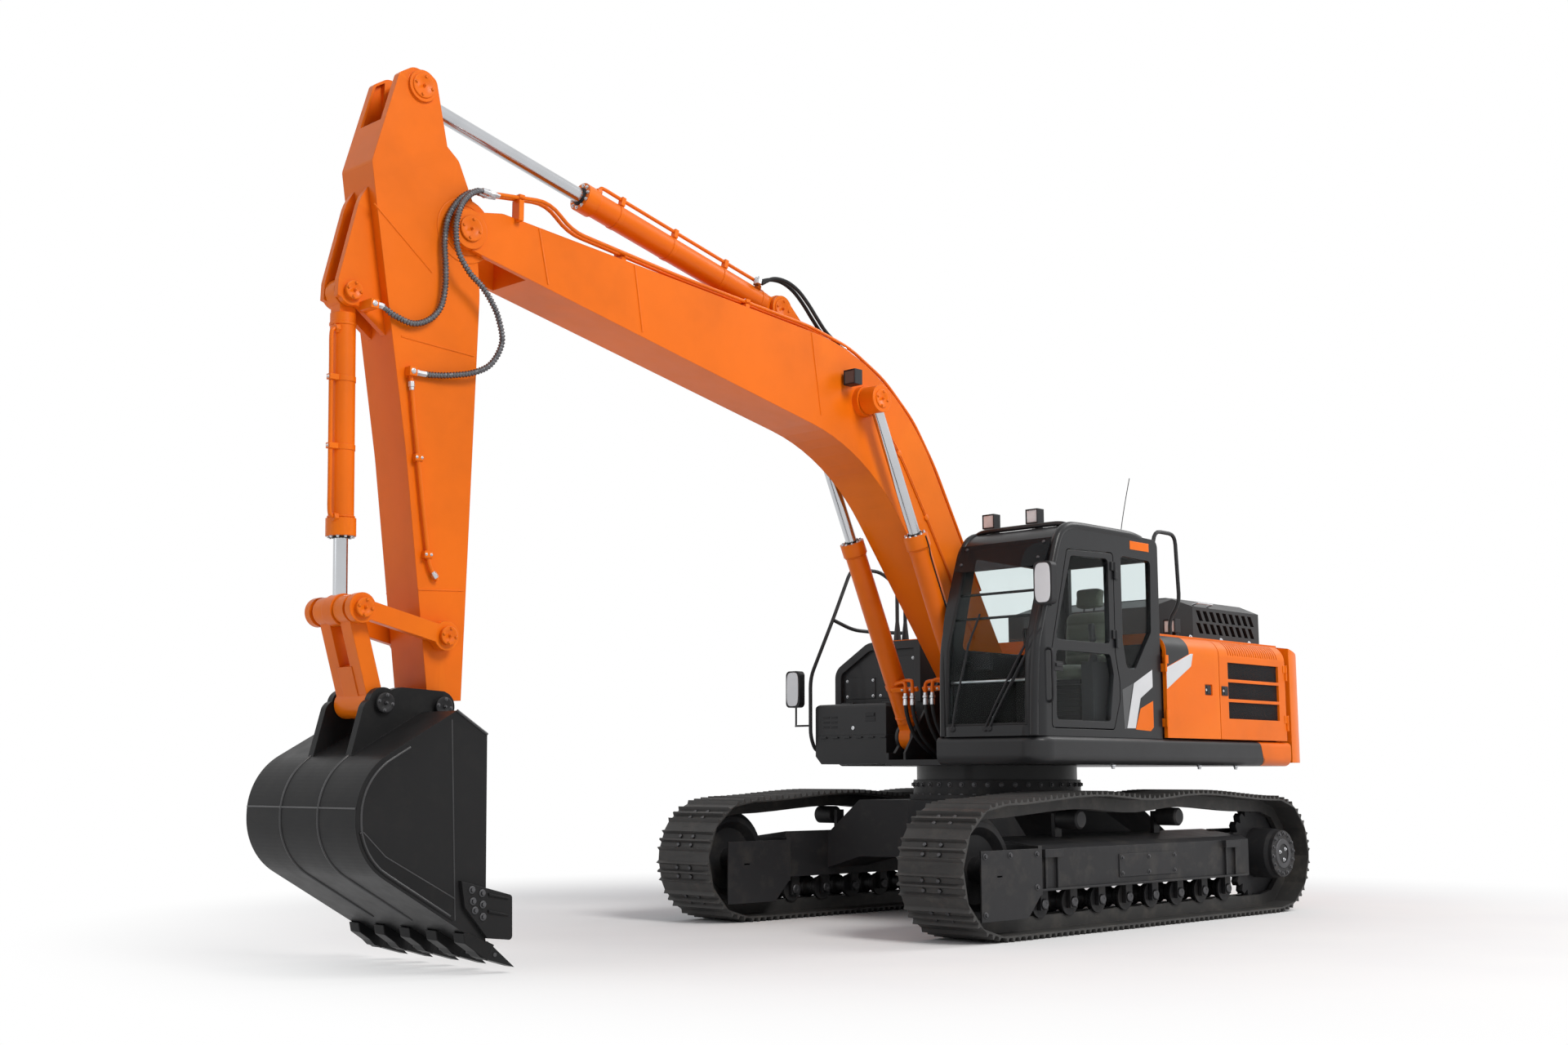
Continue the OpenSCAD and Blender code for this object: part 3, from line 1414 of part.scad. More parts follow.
// A lamp on the boom's left side
boom_lamp_share = [0.3035, 0.375];

module boom_lamp() {
  at = boom_spot(boom_lamp_share, boom_w / 2 + seat);
  color(soot) {
    block(at + [-lamp_t / 2, 0, -lamp_h / 3], at + [lamp_t / 2, lamp_w / 3, lamp_h / 3]);
    block(at + [0, lamp_w / 4, -lamp_h / 2], at + [lamp_t, lamp_w / 4 + lamp_w, lamp_h / 2]);
  }
}

// Hydraulic cylinders: a barrel turns on its base pin and its rod slides in it, both along one line
module along(base, tip) {
  way = tip - base;
  translate([base[0], 0, base[1]]) rotate([0, 90 - atan2(way[1], way[0]), 0]) children();
}

barrel_bottom = 150;
gland_l = 110;
gland_lip = 14;
eye_share = 0.62;
neck_share = 0.35;
neck_gap = 40;
rod_gap = 0.5;

// The barrel stands up from its base pin: an eye across Y, a neck past ears of radius ear_r, the tube
module barrel(d, rod_d, eye_half, length, ear_r) {
  start = ear_r + neck_gap;
  difference() {
    union() {
      translate([0, 0, start]) cylinder(d = d, h = length - start);
      translate([0, 0, length - gland_l]) cylinder(d = d + 2 * gland_lip, h = gland_l);
      across([0, 0], d * eye_share, -eye_half, eye_half);
      block([-d * neck_share, -eye_half, 0], [d * neck_share, eye_half, start + over]);
    }
    translate([0, 0, barrel_bottom]) cylinder(d = rod_d + 2 * rod_gap, h = length);
    across([0, 0], bore_r, -eye_half - over, eye_half + over);
  }
}

// The rod ends in an eye at the given reach from the base pin
module rod(d, rod_l, eye_r, eye_half, reach) {
  translate([0, 0, reach - rod_l]) cylinder(d = d, h = rod_l - eye_r / 2);
  translate([0, 0, reach]) across([0, 0], eye_r, -eye_half, eye_half);
}

boom_barrel_l = 1780;
boom_rod_l = 1740;
arm_barrel_l = 2010;
arm_rod_l = 2040;
bucket_barrel_l = 1530;
bucket_rod_l = 1500;
pin_cap = 24;

module boom_barrels() {
  color(orange) pair() translate([0, cyl_y, 0]) along(cyl_foot, lift_pin)
    barrel(boom_barrel_d, boom_rod_d, cyl_half, boom_barrel_l, cyl_r);
}

module boom_rods() {
  reach = norm(lift_pin - cyl_foot);
  pair() translate([0, cyl_y, 0]) along(cyl_foot, lift_pin) {
    color(chrome) rod(boom_rod_d, boom_rod_l, boom_barrel_d * eye_share, cyl_half, reach);
    color(orange) translate([0, 0, reach]) across([0, 0], pin_in + pin_cap, cyl_half - over,
      cyl_half + pin_cap);
  }
}

module arm_barrel() {
  color(orange) along(crowd_base, crowd_pin)
    barrel(arm_barrel_d, arm_rod_d, crowd_half, arm_barrel_l, crowd_r);
}

module arm_rod() {
  color(chrome) along(crowd_base, crowd_pin)
    rod(arm_rod_d, arm_rod_l, arm_barrel_d * eye_share - over, crowd_half, norm(crowd_pin - crowd_base));
}

// Arm: a hollow plate box down to the bucket pin, with a bracket for the bucket cylinder
arm_shares = [
  [0.1725, 0.300, 0.015], [0.138, 0.323, 0.03], [0.082, 0.312, 0.02], [0.050, 0.172, 0],
    [0.020, 0.148, 0.03],
  [-0.0235, 0.055, 0.1], [-0.042, -0.13, 0.3], [-0.0205, -0.985, 0], [0.0600, -0.985, 0],
    [0.1283, -0.49, 0.5],
  [0.2140, 0.0, 0.2], [0.2300, 0.097, 0.02]
];
curl_bracket_shares = [[0.215, 0.06, 0], [0.160, -0.26, 0], [0.235, -0.205, 0], [0.283, -0.19, 0],
  [0.282, -0.155, 0.02], [0.240, 0.02, 0.1]];
crowd_slot_share = 0.195;
arm_end_r = 96;
arm_r = 165;
disc_t = 6;
curl_r = 92;
rocker_r = 85;
slot_half = 120;
curl_ear_t = 42;
arm_line = placed(arm_shares, arm_len, arm_pin);
arm_half = arm_w / 2;
curl_half = 52;
curl_gap_half = curl_half + side_gap;
curl_ear_out = curl_gap_half + curl_ear_t;

module arm() {
  slot_z = arm_pin[1] + crowd_slot_share * arm_len;
  color(orange) difference() {
    union() {
      slab_y(rounded(arm_line), -arm_half, arm_half);
      across(bucket_pin, arm_end_r, -arm_half, arm_half);
      across(arm_pin, arm_r, -arm_half - disc_t, arm_half + disc_t);
      across(rocker_pin, rocker_r, -arm_half - boss_t, arm_half + boss_t);
      pair() {
        slab_y(rounded(placed(curl_bracket_shares, arm_len, arm_pin)), curl_gap_half, curl_ear_out);
        across(curl_base, curl_r, curl_gap_half, curl_ear_out);
      }
      across(curl_base, pin_in, -curl_ear_out - pin_cap, curl_ear_out + pin_cap);
      across(crowd_pin, crowd_r, -arm_half - boss_t, arm_half + boss_t);
    }
    difference() {
      slab_y(rounded(inset(arm_line, arm_plate)), -arm_half + arm_plate, arm_half - arm_plate);
      across(bucket_pin, arm_end_r + arm_plate, -arm_half, arm_half);
      across(arm_pin, arm_r, -arm_half, arm_half);
      across(rocker_pin, rocker_r, -arm_half, arm_half);
      block([0, -arm_half, slot_z - arm_plate], [far, arm_half, far]);
    }
    block([0, -slot_half, slot_z], [2 * far, slot_half, far]);
    across(bucket_pin, bore_r, -arm_half - over, arm_half + over);
    across(arm_pin, bore_r, -arm_half - over, arm_half + over);
  }
  color(silver) pair() across(rocker_pin, pin_in, arm_half + boss_t - over, rocker_y + rocker_t + pin_cap);
}

// Pipe down the arm's left side, with the blocks that the hoses end on
arm_pipe_y = arm_half + pipe_inset;
arm_pipe_shares = [[0.1277, -0.334], [0.120, -0.40], [0.090, -0.60], [0.070, -0.72], [0.050, -0.745]];
arm_clip_shares = [[0.105, -0.50], [0.076, -0.695]];
function arm_spot(share, y) = [arm_pin[0] + share[0] * arm_len, y, arm_pin[1] + share[1] * arm_len];
pipe_clip_w = 50;
hose_block = 56;

// A block that a hose end seats against, standing out from a face at y0
module hose_stop(at, y0) {
  block([at[0] + seat, y0 + seat, at[2] - hose_block / 2],
    [at[0] + hose_block, at[1] + hose_block / 2, at[2] + hose_block / 2]);
}

module arm_pipes() {
  color(orange) {
    tube([for (s = arm_pipe_shares) arm_spot(s, arm_pipe_y)], pipe_r, pipe_bend);
    for (s = arm_clip_shares) {
      at = arm_spot(s, arm_half + seat);
      block(at + [-pipe_clip_w / 2, 0, -pipe_clip_w / 2],
        at + [pipe_clip_w / 2, arm_pipe_y - arm_half + pipe_r, pipe_clip_w / 2]);
    }
    hose_stop(hose_end(0), curl_ear_out);
    hose_stop(hose_end(1), arm_half);
  }
}

// Bucket cylinder and its linkage
rocker_y = arm_half + boss_t + side_gap;
rocker_t = 55;
rocker_end_r = 92;
waist_share = 0.62;
link_in = curl_half + side_gap;
link_half = arm_half - disc_t;
link_r = 88;
link_waist = 60;

module bucket_barrel() {
  color(orange) along(curl_base, curl_pin)
    barrel(bucket_barrel_d, bucket_rod_d, curl_half, bucket_barrel_l, curl_r);
}

module bucket_rod() {
  color(chrome) along(curl_base, curl_pin)
    rod(bucket_rod_d, bucket_rod_l, bucket_barrel_d * eye_share, curl_half, norm(curl_pin - curl_base));
}

// A flat link between two pins [x, z], narrower in the middle
module link_plate(a, b, ra, rb, y0, y1) {
  way = unit(b - a);
  side = left_of(way);
  across(a, ra, y0, y1);
  across(b, rb, y0, y1);
  slab_y([
    a + side * ra * waist_share, a - side * ra * waist_share, b - side * rb * waist_share,
    b + side * rb * waist_share
  ], y0, y1);
}

module side_links() {
  color(orange) pair() difference() {
    union() {
      link_plate(rocker_pin, curl_pin, rocker_end_r, rocker_end_r, rocker_y, rocker_y + rocker_t);
      across(curl_pin, pin_in, rocker_y, rocker_y + rocker_t + pin_cap);
    }
    across(rocker_pin, bore_r, rocker_y - over, rocker_y + rocker_t + over);
  }
}

link_web_share = 0.42;

module bucket_link() {
  way = curl_pin - link_pin;
  web = link_pin + way * link_web_share;
  color(orange) difference() {
    union() {
      pair() link_plate(link_pin, curl_pin, link_r, link_r, link_in, link_half);
      across(link_pin, link_r, -link_half, link_half);
      slab_y([
        link_pin + left_of(unit(way)) * link_waist, link_pin - left_of(unit(way)) * link_waist,
        web - left_of(unit(way)) * link_waist, web + left_of(unit(way)) * link_waist
      ], -link_in - over, link_in + over);
    }
    across(link_pin, bore_r, -link_half - over, link_half + over);
  }
}

// Bucket: curved wrapper between two side plates, with ears, a lip, teeth and side cutters
bucket_shares = [
  [-0.062, -0.9000, 0], [0.516, -0.561, 0.25], [0.516, -0.259, 0.25], [0.0938, -0.0225, 0],
    [-0.047, -0.109, 0]
];
ear_shares = [[0.25, -0.15, 0], [0.40, -0.20, 0], [0.345, 0.01, 0.05], [0.20, 0.07, 0.1],
  [-0.02, 0.06, 0.02], [-0.06, -0.06, 0.03], [0.05, -0.09, 0]];
lip_t = 45;
mouth_l = 240;
ear_t = 58;
ear_y = arm_half + side_gap;
ear_end_r = 95;
bucket_line = placed(bucket_shares, bucket_r, bucket_pin);
bucket_half = bucket_w / 2;
bowl_half = bucket_half - bucket_plate;

function bucket_spot(share) = bucket_pin + bucket_r * share;

module bucket() {
  inner = inset(bucket_line, bucket_plate);
  mouth = [-mouth_l, 0];
  color(soot) difference() {
    union() {
      slab_y(rounded(bucket_line), -bucket_half, bucket_half);
      pair() {
        slab_y(rounded(placed(ear_shares, bucket_r, bucket_pin)), ear_y, ear_y + ear_t);
        across(bucket_pin, ear_end_r, ear_y, ear_y + ear_t);
        across(link_pin, ear_end_r, ear_y, ear_y + ear_t);
      }
    }
    difference() {
      union() {
        slab_y(rounded(inner), -bowl_half, bowl_half);
        slab_y([
          flat(inner[3]), flat(bucket_line[4]) + mouth, flat(bucket_line[0]) + mouth,
            flat(bucket_line[0]) + [0, lip_t],
          flat(inner[0]) + [over, over]
        ], -bowl_half, bowl_half);
      }
    }
    across(bucket_pin, arm_end_r + side_gap + over, -ear_y, ear_y);
    across(link_pin, link_r + side_gap + over, -ear_y, ear_y);
  }
  color(silver) {
    across(bucket_pin, pin_in, -ear_y - ear_t - pin_cap, ear_y + ear_t + pin_cap);
    across(link_pin, pin_in, -ear_y - ear_t - pin_cap, ear_y + ear_t + pin_cap);
  }
}

tooth_w = 96;
tooth_share = [-0.1985, -0.984];
tooth_back_share = [0.03, -0.86];
tooth_t = 70;
tooth_way = unit(bucket_spot(tooth_share) - bucket_spot(tooth_back_share));
tooth_out = left_of(tooth_way);

module bucket_teeth() {
  tip = bucket_spot(tooth_share);
  lip = flat(bucket_line[0]);
  back = lip - tooth_way * 2 * tooth_t;
  color(soot) for (i = [0:tooth_count - 1]) {
    y = (i / (tooth_count - 1) - 0.5) * (bucket_w - tooth_w);
    slab_y([
      tip, lip + tooth_out * tooth_t, back + tooth_out * tooth_t / 2, back, lip + tooth_out * seat,
        lip - tooth_out * tooth_t / 2
    ], y - tooth_w / 2, y + tooth_w / 2);
  }
}

cutter_shares = [
  [0.067, -0.652, 0], [0.049, -0.748, 0], [-0.058, -0.868, 0], [-0.172, -0.881, 0.015],
    [-0.167, -0.714, 0.015]
];
cutter_t = 30;

module side_cutters() {
  color(soot) pair()
    slab_y(rounded(placed(cutter_shares, bucket_r, bucket_pin)), bucket_half + seat,
      bucket_half + seat + cutter_t);
}

// Hoses from the boom's pipes round the arm joint, in shares of the arm about its boom pin
hose_r = 22;
hose_gap = 2;
hose_sides = 8;
hose_shares = [
  [
    [0.005, 0.066, 0.077], [0.032, 0.067, 0.050], [0.053, 0.069, 0.010], [0.060, 0.071, -0.040],
      [0.056, 0.071, -0.092],
    [0.056, 0.071, -0.140], [0.066, 0.071, -0.182], [0.092, 0.070, -0.212], [0.130, 0.069, -0.227],
      [0.172, 0.067, -0.218],
    [0.191, 0.066, -0.209], [0.203, 0.066, -0.204], [0.214, 0.066, -0.204]
  ],
  [
    [0.006, 0.086, 0.074], [0.031, 0.091, 0.047], [0.045, 0.094, 0.014], [0.050, 0.096, -0.021],
      [0.043, 0.097, -0.063],
    [0.015, 0.097, -0.101], [-0.019, 0.096, -0.125], [-0.046, 0.094, -0.153], [-0.066, 0.092, -0.185],
    [-0.078, 0.089, -0.233], [-0.056, 0.084, -0.281], [-0.016, 0.079, -0.306], [0.034, 0.072, -0.319],
    [0.076, 0.067, -0.325], [0.098, 0.066, -0.326], [0.119, 0.066, -0.326]
  ]
];
function hose_spot(s) = [arm_pin[0] + s[0] * arm_len, s[1] * arm_len, arm_pin[1] + s[2] * arm_len];
function hose_end(k) = hose_spot(hose_shares[k][len(hose_shares[k]) - 1]);
function hose_start(k) = boom_pipe(1 - k)[len(pipe_shares) - 1] + [hose_gap, 0, 0];
function hose_route(k) = concat(
  [hose_start(k), hose_start(k) + [3 * hose_r, 0, 0]], [for (s = hose_shares[k]) hose_spot(s)]
);

module arm_hoses() {
  color(grey) for (k = [0, 1]) sweep(hose_route(k), hose_r, hose_sides);
}

center_frame();
slew_ring();
track_frame_left();
track_frame_right();
track_left();
track_right();
idlers();
sprockets();
final_drives();
track_rollers();
carrier_rollers();
swing_frame();
side_skirts();
counterweight();
engine();
engine_covers();
left_front_door();
left_rear_door();
right_door();
engine_hood();
fuel_tank();
toolbox();
toolbox_lid();
cab_shell();
cab_glass();
cab_door();
door_glass();
seat_unit();
controls();
handrails();
mirrors();
work_lamps();
boom();
boom_pipes();
boom_lamp();
boom_barrels();
boom_rods();
arm_barrel();
arm_rod();
arm();
arm_pipes();
bucket_barrel();
bucket_rod();
side_links();
bucket_link();
bucket();
bucket_teeth();
side_cutters();
arm_hoses();
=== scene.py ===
# Crawler excavator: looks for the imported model, in metres, in the frame of the CAD.
import math

import bmesh
import bpy
from mathutils import Matrix, Vector


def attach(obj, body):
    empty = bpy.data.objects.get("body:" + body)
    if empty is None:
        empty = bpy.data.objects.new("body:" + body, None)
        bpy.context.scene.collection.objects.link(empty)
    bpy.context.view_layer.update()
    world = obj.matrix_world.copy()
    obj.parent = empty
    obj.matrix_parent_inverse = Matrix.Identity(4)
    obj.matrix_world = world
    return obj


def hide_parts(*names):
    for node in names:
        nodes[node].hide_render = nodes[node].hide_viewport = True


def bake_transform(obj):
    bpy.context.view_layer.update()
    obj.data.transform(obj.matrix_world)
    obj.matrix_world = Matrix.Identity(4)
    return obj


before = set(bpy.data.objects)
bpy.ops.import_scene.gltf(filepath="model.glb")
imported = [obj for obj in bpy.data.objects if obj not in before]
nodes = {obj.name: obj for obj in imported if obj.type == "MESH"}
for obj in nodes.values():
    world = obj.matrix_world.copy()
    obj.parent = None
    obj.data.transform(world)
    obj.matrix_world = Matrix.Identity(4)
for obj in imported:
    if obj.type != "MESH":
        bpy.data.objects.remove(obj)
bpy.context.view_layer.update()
scene = bpy.context.scene

UP = (0, 0, 1)
AHEAD = (1, 0, 0)
SIDES = (-1, 1)


def place_object(name, data):
    thing = bpy.data.objects.new(name, data)
    scene.collection.objects.link(thing)
    return thing


def aim(thing, location, way):
    thing.location = location
    thing.rotation_euler = Vector(way).to_track_quat("-Z", "Y").to_euler()


# Camera at the photo's viewing angle
def make_camera():
    data = bpy.data.cameras.new("camera")
    data.sensor_width = 36
    data.lens = 40.26
    data.clip_end = 400
    scene.camera = place_object("camera", data)
    aim(scene.camera, (12.318, 9.408, 1.179), (-0.7093, -0.6901, 0.1433))


# Materials: each finish is made of procedural nodes
def new_material(name):
    material = bpy.data.materials.new(name)
    material.use_nodes = True
    return material, material.node_tree, material.node_tree.nodes["Principled BSDF"]


def feed(tree, node, inputs):
    """Set inputs by name or number: an output is linked, a colour gets its alpha."""
    for key, value in inputs.items():
        socket = node.inputs[key]
        if isinstance(value, bpy.types.NodeSocket):
            tree.links.new(value, socket)
        elif socket.type == "RGBA":
            socket.default_value = (*value, 1)
        else:
            socket.default_value = value


def add_node(tree, kind, inputs, **values):
    node = tree.nodes.new("ShaderNode" + kind)
    for key, value in values.items():
        setattr(node, key, value)
    feed(tree, node, inputs)
    return node


def object_place(tree):
    return add_node(tree, "TexCoord", {}).outputs["Object"]


def noise(tree, scale, detail=3, rough=0.55):
    inputs = {"Scale": scale, "Detail": detail, "Roughness": rough, "Vector": object_place(tree)}
    return add_node(tree, "TexNoise", inputs).outputs["Fac"]


def ramp(tree, source, *stops):
    node = add_node(tree, "ValToRGB", {"Fac": source})
    line = node.color_ramp
    while len(line.elements) < len(stops):
        line.elements.new(0.5)
    for element, (at, colour) in zip(line.elements, stops):
        element.position = at
        element.color = (*colour, 1)
    return node.outputs["Color"]


def mix_colour(tree, fac, first, second):
    return add_node(tree, "Mix", {0: fac, 6: first, 7: second}, data_type="RGBA").outputs[2]


def map_range(tree, source, inputs, **values):
    return add_node(tree, "MapRange", {"Value": source, **inputs}, **values).outputs["Result"]


def spread(tree, source, low, high):
    return map_range(tree, source, {"To Min": low, "To Max": high})


def combine(tree, operation, first, second):
    return add_node(tree, "Math", {0: first, 1: second}, operation=operation).outputs["Value"]


def relief(tree, shader, source, strength, distance, edge=0):
    inputs = {"Strength": strength, "Distance": distance, "Height": source}
    if edge > 0:
        inputs["Normal"] = add_node(tree, "Bevel", {"Radius": edge}, samples=4).outputs["Normal"]
    feed(tree, shader, {"Normal": add_node(tree, "Bump", inputs).outputs["Normal"]})


def shade(colour, amount):
    return tuple(min(1, c * amount) for c in colour)


DUST = (0.3, 0.26, 0.21)


def paint(name, colour, rough, coat=0, wear=0, dust=0, metallic=0, spec=0.3):
    """Sprayed paint: slow tone drift, fine orange peel, rubbed edges and a little dust."""
    material, tree, shader = new_material(name)
    stops = (0.3, shade(colour, 0.88)), (0.5, colour), (0.72, shade(colour, 1.07))
    tone = ramp(tree, noise(tree, 1.3, 4), *stops)
    if dust > 0:
        limits = {"From Min": 0.5, "From Max": 0.8, "To Max": dust}
        tone = mix_colour(tree, map_range(tree, noise(tree, 5, 6, 0.65), limits), tone, DUST)
    if wear > 0:
        sharp = add_node(tree, "NewGeometry", {}).outputs["Pointiness"]
        limits = {"From Min": 0.53, "From Max": 0.6, "To Max": wear}
        tone = mix_colour(tree, map_range(tree, sharp, limits), tone, shade(colour, 1.6))
    feed(tree, shader, {
        "Base Color": tone, "Roughness": spread(tree, noise(tree, 9, 5), rough - 0.07, rough + 0.09),
        "Metallic": metallic, "Coat Weight": coat, "Coat Roughness": 0.12, "Specular IOR Level": spec,
    })
    relief(tree, shader, noise(tree, 260, 2), 0.05, 0.0008, 0.006)
    return material


def metal(name, colour, rough, scale=60, bump=0.08):
    """Bare or plated metal with a slightly uneven finish."""
    material, tree, shader = new_material(name)
    fine = noise(tree, scale, 5)
    stops = (0.3, shade(colour, 0.85)), (0.7, shade(colour, 1.08))
    feed(tree, shader, {
        "Base Color": ramp(tree, noise(tree, scale / 6, 4), *stops), "Metallic": 1,
        "Roughness": spread(tree, fine, max(0.02, rough - 0.08), rough + 0.1),
    })
    relief(tree, shader, fine, bump, 0.0006, 0.003)
    return material


def plastic(name, colour, rough, grain=420, bump=0.25):
    """Moulded plastic or rubber with a fine grain."""
    material, tree, shader = new_material(name)
    fine = noise(tree, grain)
    stops = (0.3, shade(colour, 0.85)), (0.7, shade(colour, 1.15))
    feed(tree, shader, {
        "Base Color": ramp(tree, noise(tree, 4, 4), *stops), "Specular IOR Level": 0.25,
        "Roughness": spread(tree, fine, rough - 0.06, rough + 0.08),
    })
    relief(tree, shader, fine, bump, 0.0006, 0.003)
    return material


def tinted_glass(name, colour, clear):
    """Tinted safety glass with a faint film of dust."""
    material, tree, shader = new_material(name)
    film = spread(tree, noise(tree, 2.2, 5), 0, 0.03)
    feed(tree, shader, {"Base Color": colour, "Roughness": film, "Transmission Weight": clear, "IOR": 1.12})
    return material


def cloth(name, colour):
    """Woven cloth: crossed threads in colour and relief."""
    material, tree, shader = new_material(name)
    waves = []
    for turn in (0, math.pi / 2):
        turned = add_node(tree, "Mapping", {"Rotation": (0, turn, turn), "Vector": object_place(tree)})
        inputs = {"Scale": 150, "Distortion": 1.5, "Vector": turned.outputs["Vector"]}
        wave = add_node(tree, "TexWave", inputs, wave_type="BANDS", bands_direction="X")
        waves.append(wave.outputs["Fac"])
    weave = combine(tree, "MULTIPLY", *waves)
    tone = ramp(tree, weave, (0, shade(colour, 0.7)), (0.8, shade(colour, 1.2)))
    feed(tree, shader, {"Base Color": tone, "Roughness": 0.9, "Sheen Weight": 0.3})
    relief(tree, shader, weave, 0.35, 0.001)
    return material


MATERIALS = {
    "orange": paint("orange_paint", (0.82, 0.155, 0.003), 0.36, coat=0.06, wear=0.2, spec=0.18),
    "dark": paint("dark_paint", (0.026, 0.0265, 0.028), 0.42, coat=0.1, wear=0.2, spec=0.2),
    "cab": paint("cab_paint", (0.012, 0.0125, 0.014), 0.34, coat=0.1, wear=0.2, spec=0.25),
    "black": paint("frame_paint", (0.02, 0.02, 0.0215), 0.46, wear=0.35, dust=0.12, spec=0.2),
    "shoe": paint("shoe_paint", (0.046, 0.045, 0.044), 0.48, wear=0.6, dust=0.18, metallic=0.2, spec=0.2),
    "bucket": paint("bucket_paint", (0.015, 0.015, 0.0155), 0.36, wear=0.5, dust=0.03, spec=0.1),
    # Seam paint is lighter than the bucket paint: a painted highlight along the weld beads and plate edges
    "seam": paint("seam_painted_highlight", (0.05, 0.05, 0.052), 0.3, coat=0.2),
    "grey": paint("stripe_grey", (0.085, 0.087, 0.09), 0.4),
    "silver": paint("stripe_silver", (0.66, 0.67, 0.69), 0.35, metallic=0.3),
    "chrome": metal("chrome", (0.55, 0.56, 0.58), 0.16, scale=8, bump=0),
    "zinc": metal("zinc_bolt", (0.55, 0.56, 0.58), 0.34),
    "iron": metal("cast_iron", (0.1, 0.1, 0.105), 0.55),
    "rubber": plastic("rubber", (0.016, 0.016, 0.017), 0.62),
    "plastic": plastic("black_plastic", (0.02, 0.02, 0.022), 0.48),
    "lens": plastic("lamp_lens", (0.92, 0.93, 0.94), 0.12, grain=120, bump=0.1),
    "mirror": metal("mirror_face", (0.85, 0.87, 0.89), 0.04, bump=0),
    "glass": tinted_glass("tinted_glass", (0.84, 0.89, 0.89), 1),
    "visor": tinted_glass("dark_visor", (0.06, 0.065, 0.07), 0.75),
    "olive": plastic("armrest_grey", (0.14, 0.15, 0.12), 0.55),
    "cloth": cloth("seat_cloth", (0.1, 0.115, 0.085)),
    "hose": metal("hose_guard", (0.16, 0.16, 0.17), 0.42, bump=0.05),
    "dim_lens": plastic("dim_lens", (0.1, 0.105, 0.11), 0.1, grain=120, bump=0.1),
}
NODE_MATERIALS = {
    "orange": [
        "boom", "boom_pipes", "boom_barrels", "arm", "arm_barrel", "arm_pipes", "bucket_barrel",
        "side_links", "bucket_link", "counterweight", "engine_covers", "left_front_door",
        "left_rear_door", "right_door",
    ],
    "dark": [
        "swing_frame", "side_skirts", "engine_hood", "fuel_tank", "toolbox", "toolbox_lid", "handrails",
    ],
    "cab": ["cab_shell", "cab_door"],
    "black": [
        "center_frame", "slew_ring", "track_frame_left", "track_frame_right", "idlers", "sprockets",
        "final_drives", "track_rollers", "carrier_rollers",
    ],
    "shoe": ["track_left", "track_right"],
    "bucket": ["bucket", "bucket_teeth", "side_cutters"],
    "chrome": ["boom_rods", "arm_rod", "bucket_rod"],
    "iron": ["engine"],
    "glass": ["cab_glass", "door_glass"],
    "cloth": ["seat_unit"],
    "plastic": ["controls", "mirrors", "work_lamps", "boom_lamp"],
    "rubber": ["arm_hoses"],
}


def dress_nodes():
    for key, names in NODE_MATERIALS.items():
        for name in names:
            mesh = nodes[name].data
            mesh.materials.clear()
            mesh.materials.append(MATERIALS[key])


# Mesh helpers: each piece gathers its forms in one mesh and then rides on a body
def spokes(way, count, turn=0):
    """The unit vector along way, and count unit vectors square to it, evenly spread."""
    way = Vector(way).normalized()
    side = way.orthogonal().normalized()
    up = way.cross(side)
    angles = [turn + 2 * math.pi * k / count for k in range(count)]
    return way, [side * math.cos(a) + up * math.sin(a) for a in angles]


def smooth_line(points, steps):
    """A smooth line through points, with the given number of steps between them."""
    points = [Vector(p) for p in points]
    line = []
    for i, (a, b) in enumerate(zip(points, points[1:])):
        before = points[max(i - 1, 0)]
        later = points[min(i + 2, len(points) - 1)]
        for k in range(steps):
            t = k / steps
            square = (2 * before - 5 * a + 4 * b - later) * t * t
            cube = (3 * a - before - 3 * b + later) * t * t * t
            line.append(0.5 * ((2 * a) + (b - before) * t + square + cube))
    line.append(points[-1])
    return line


def line_length(line):
    return sum((b - a).length for a, b in zip(line, line[1:]))


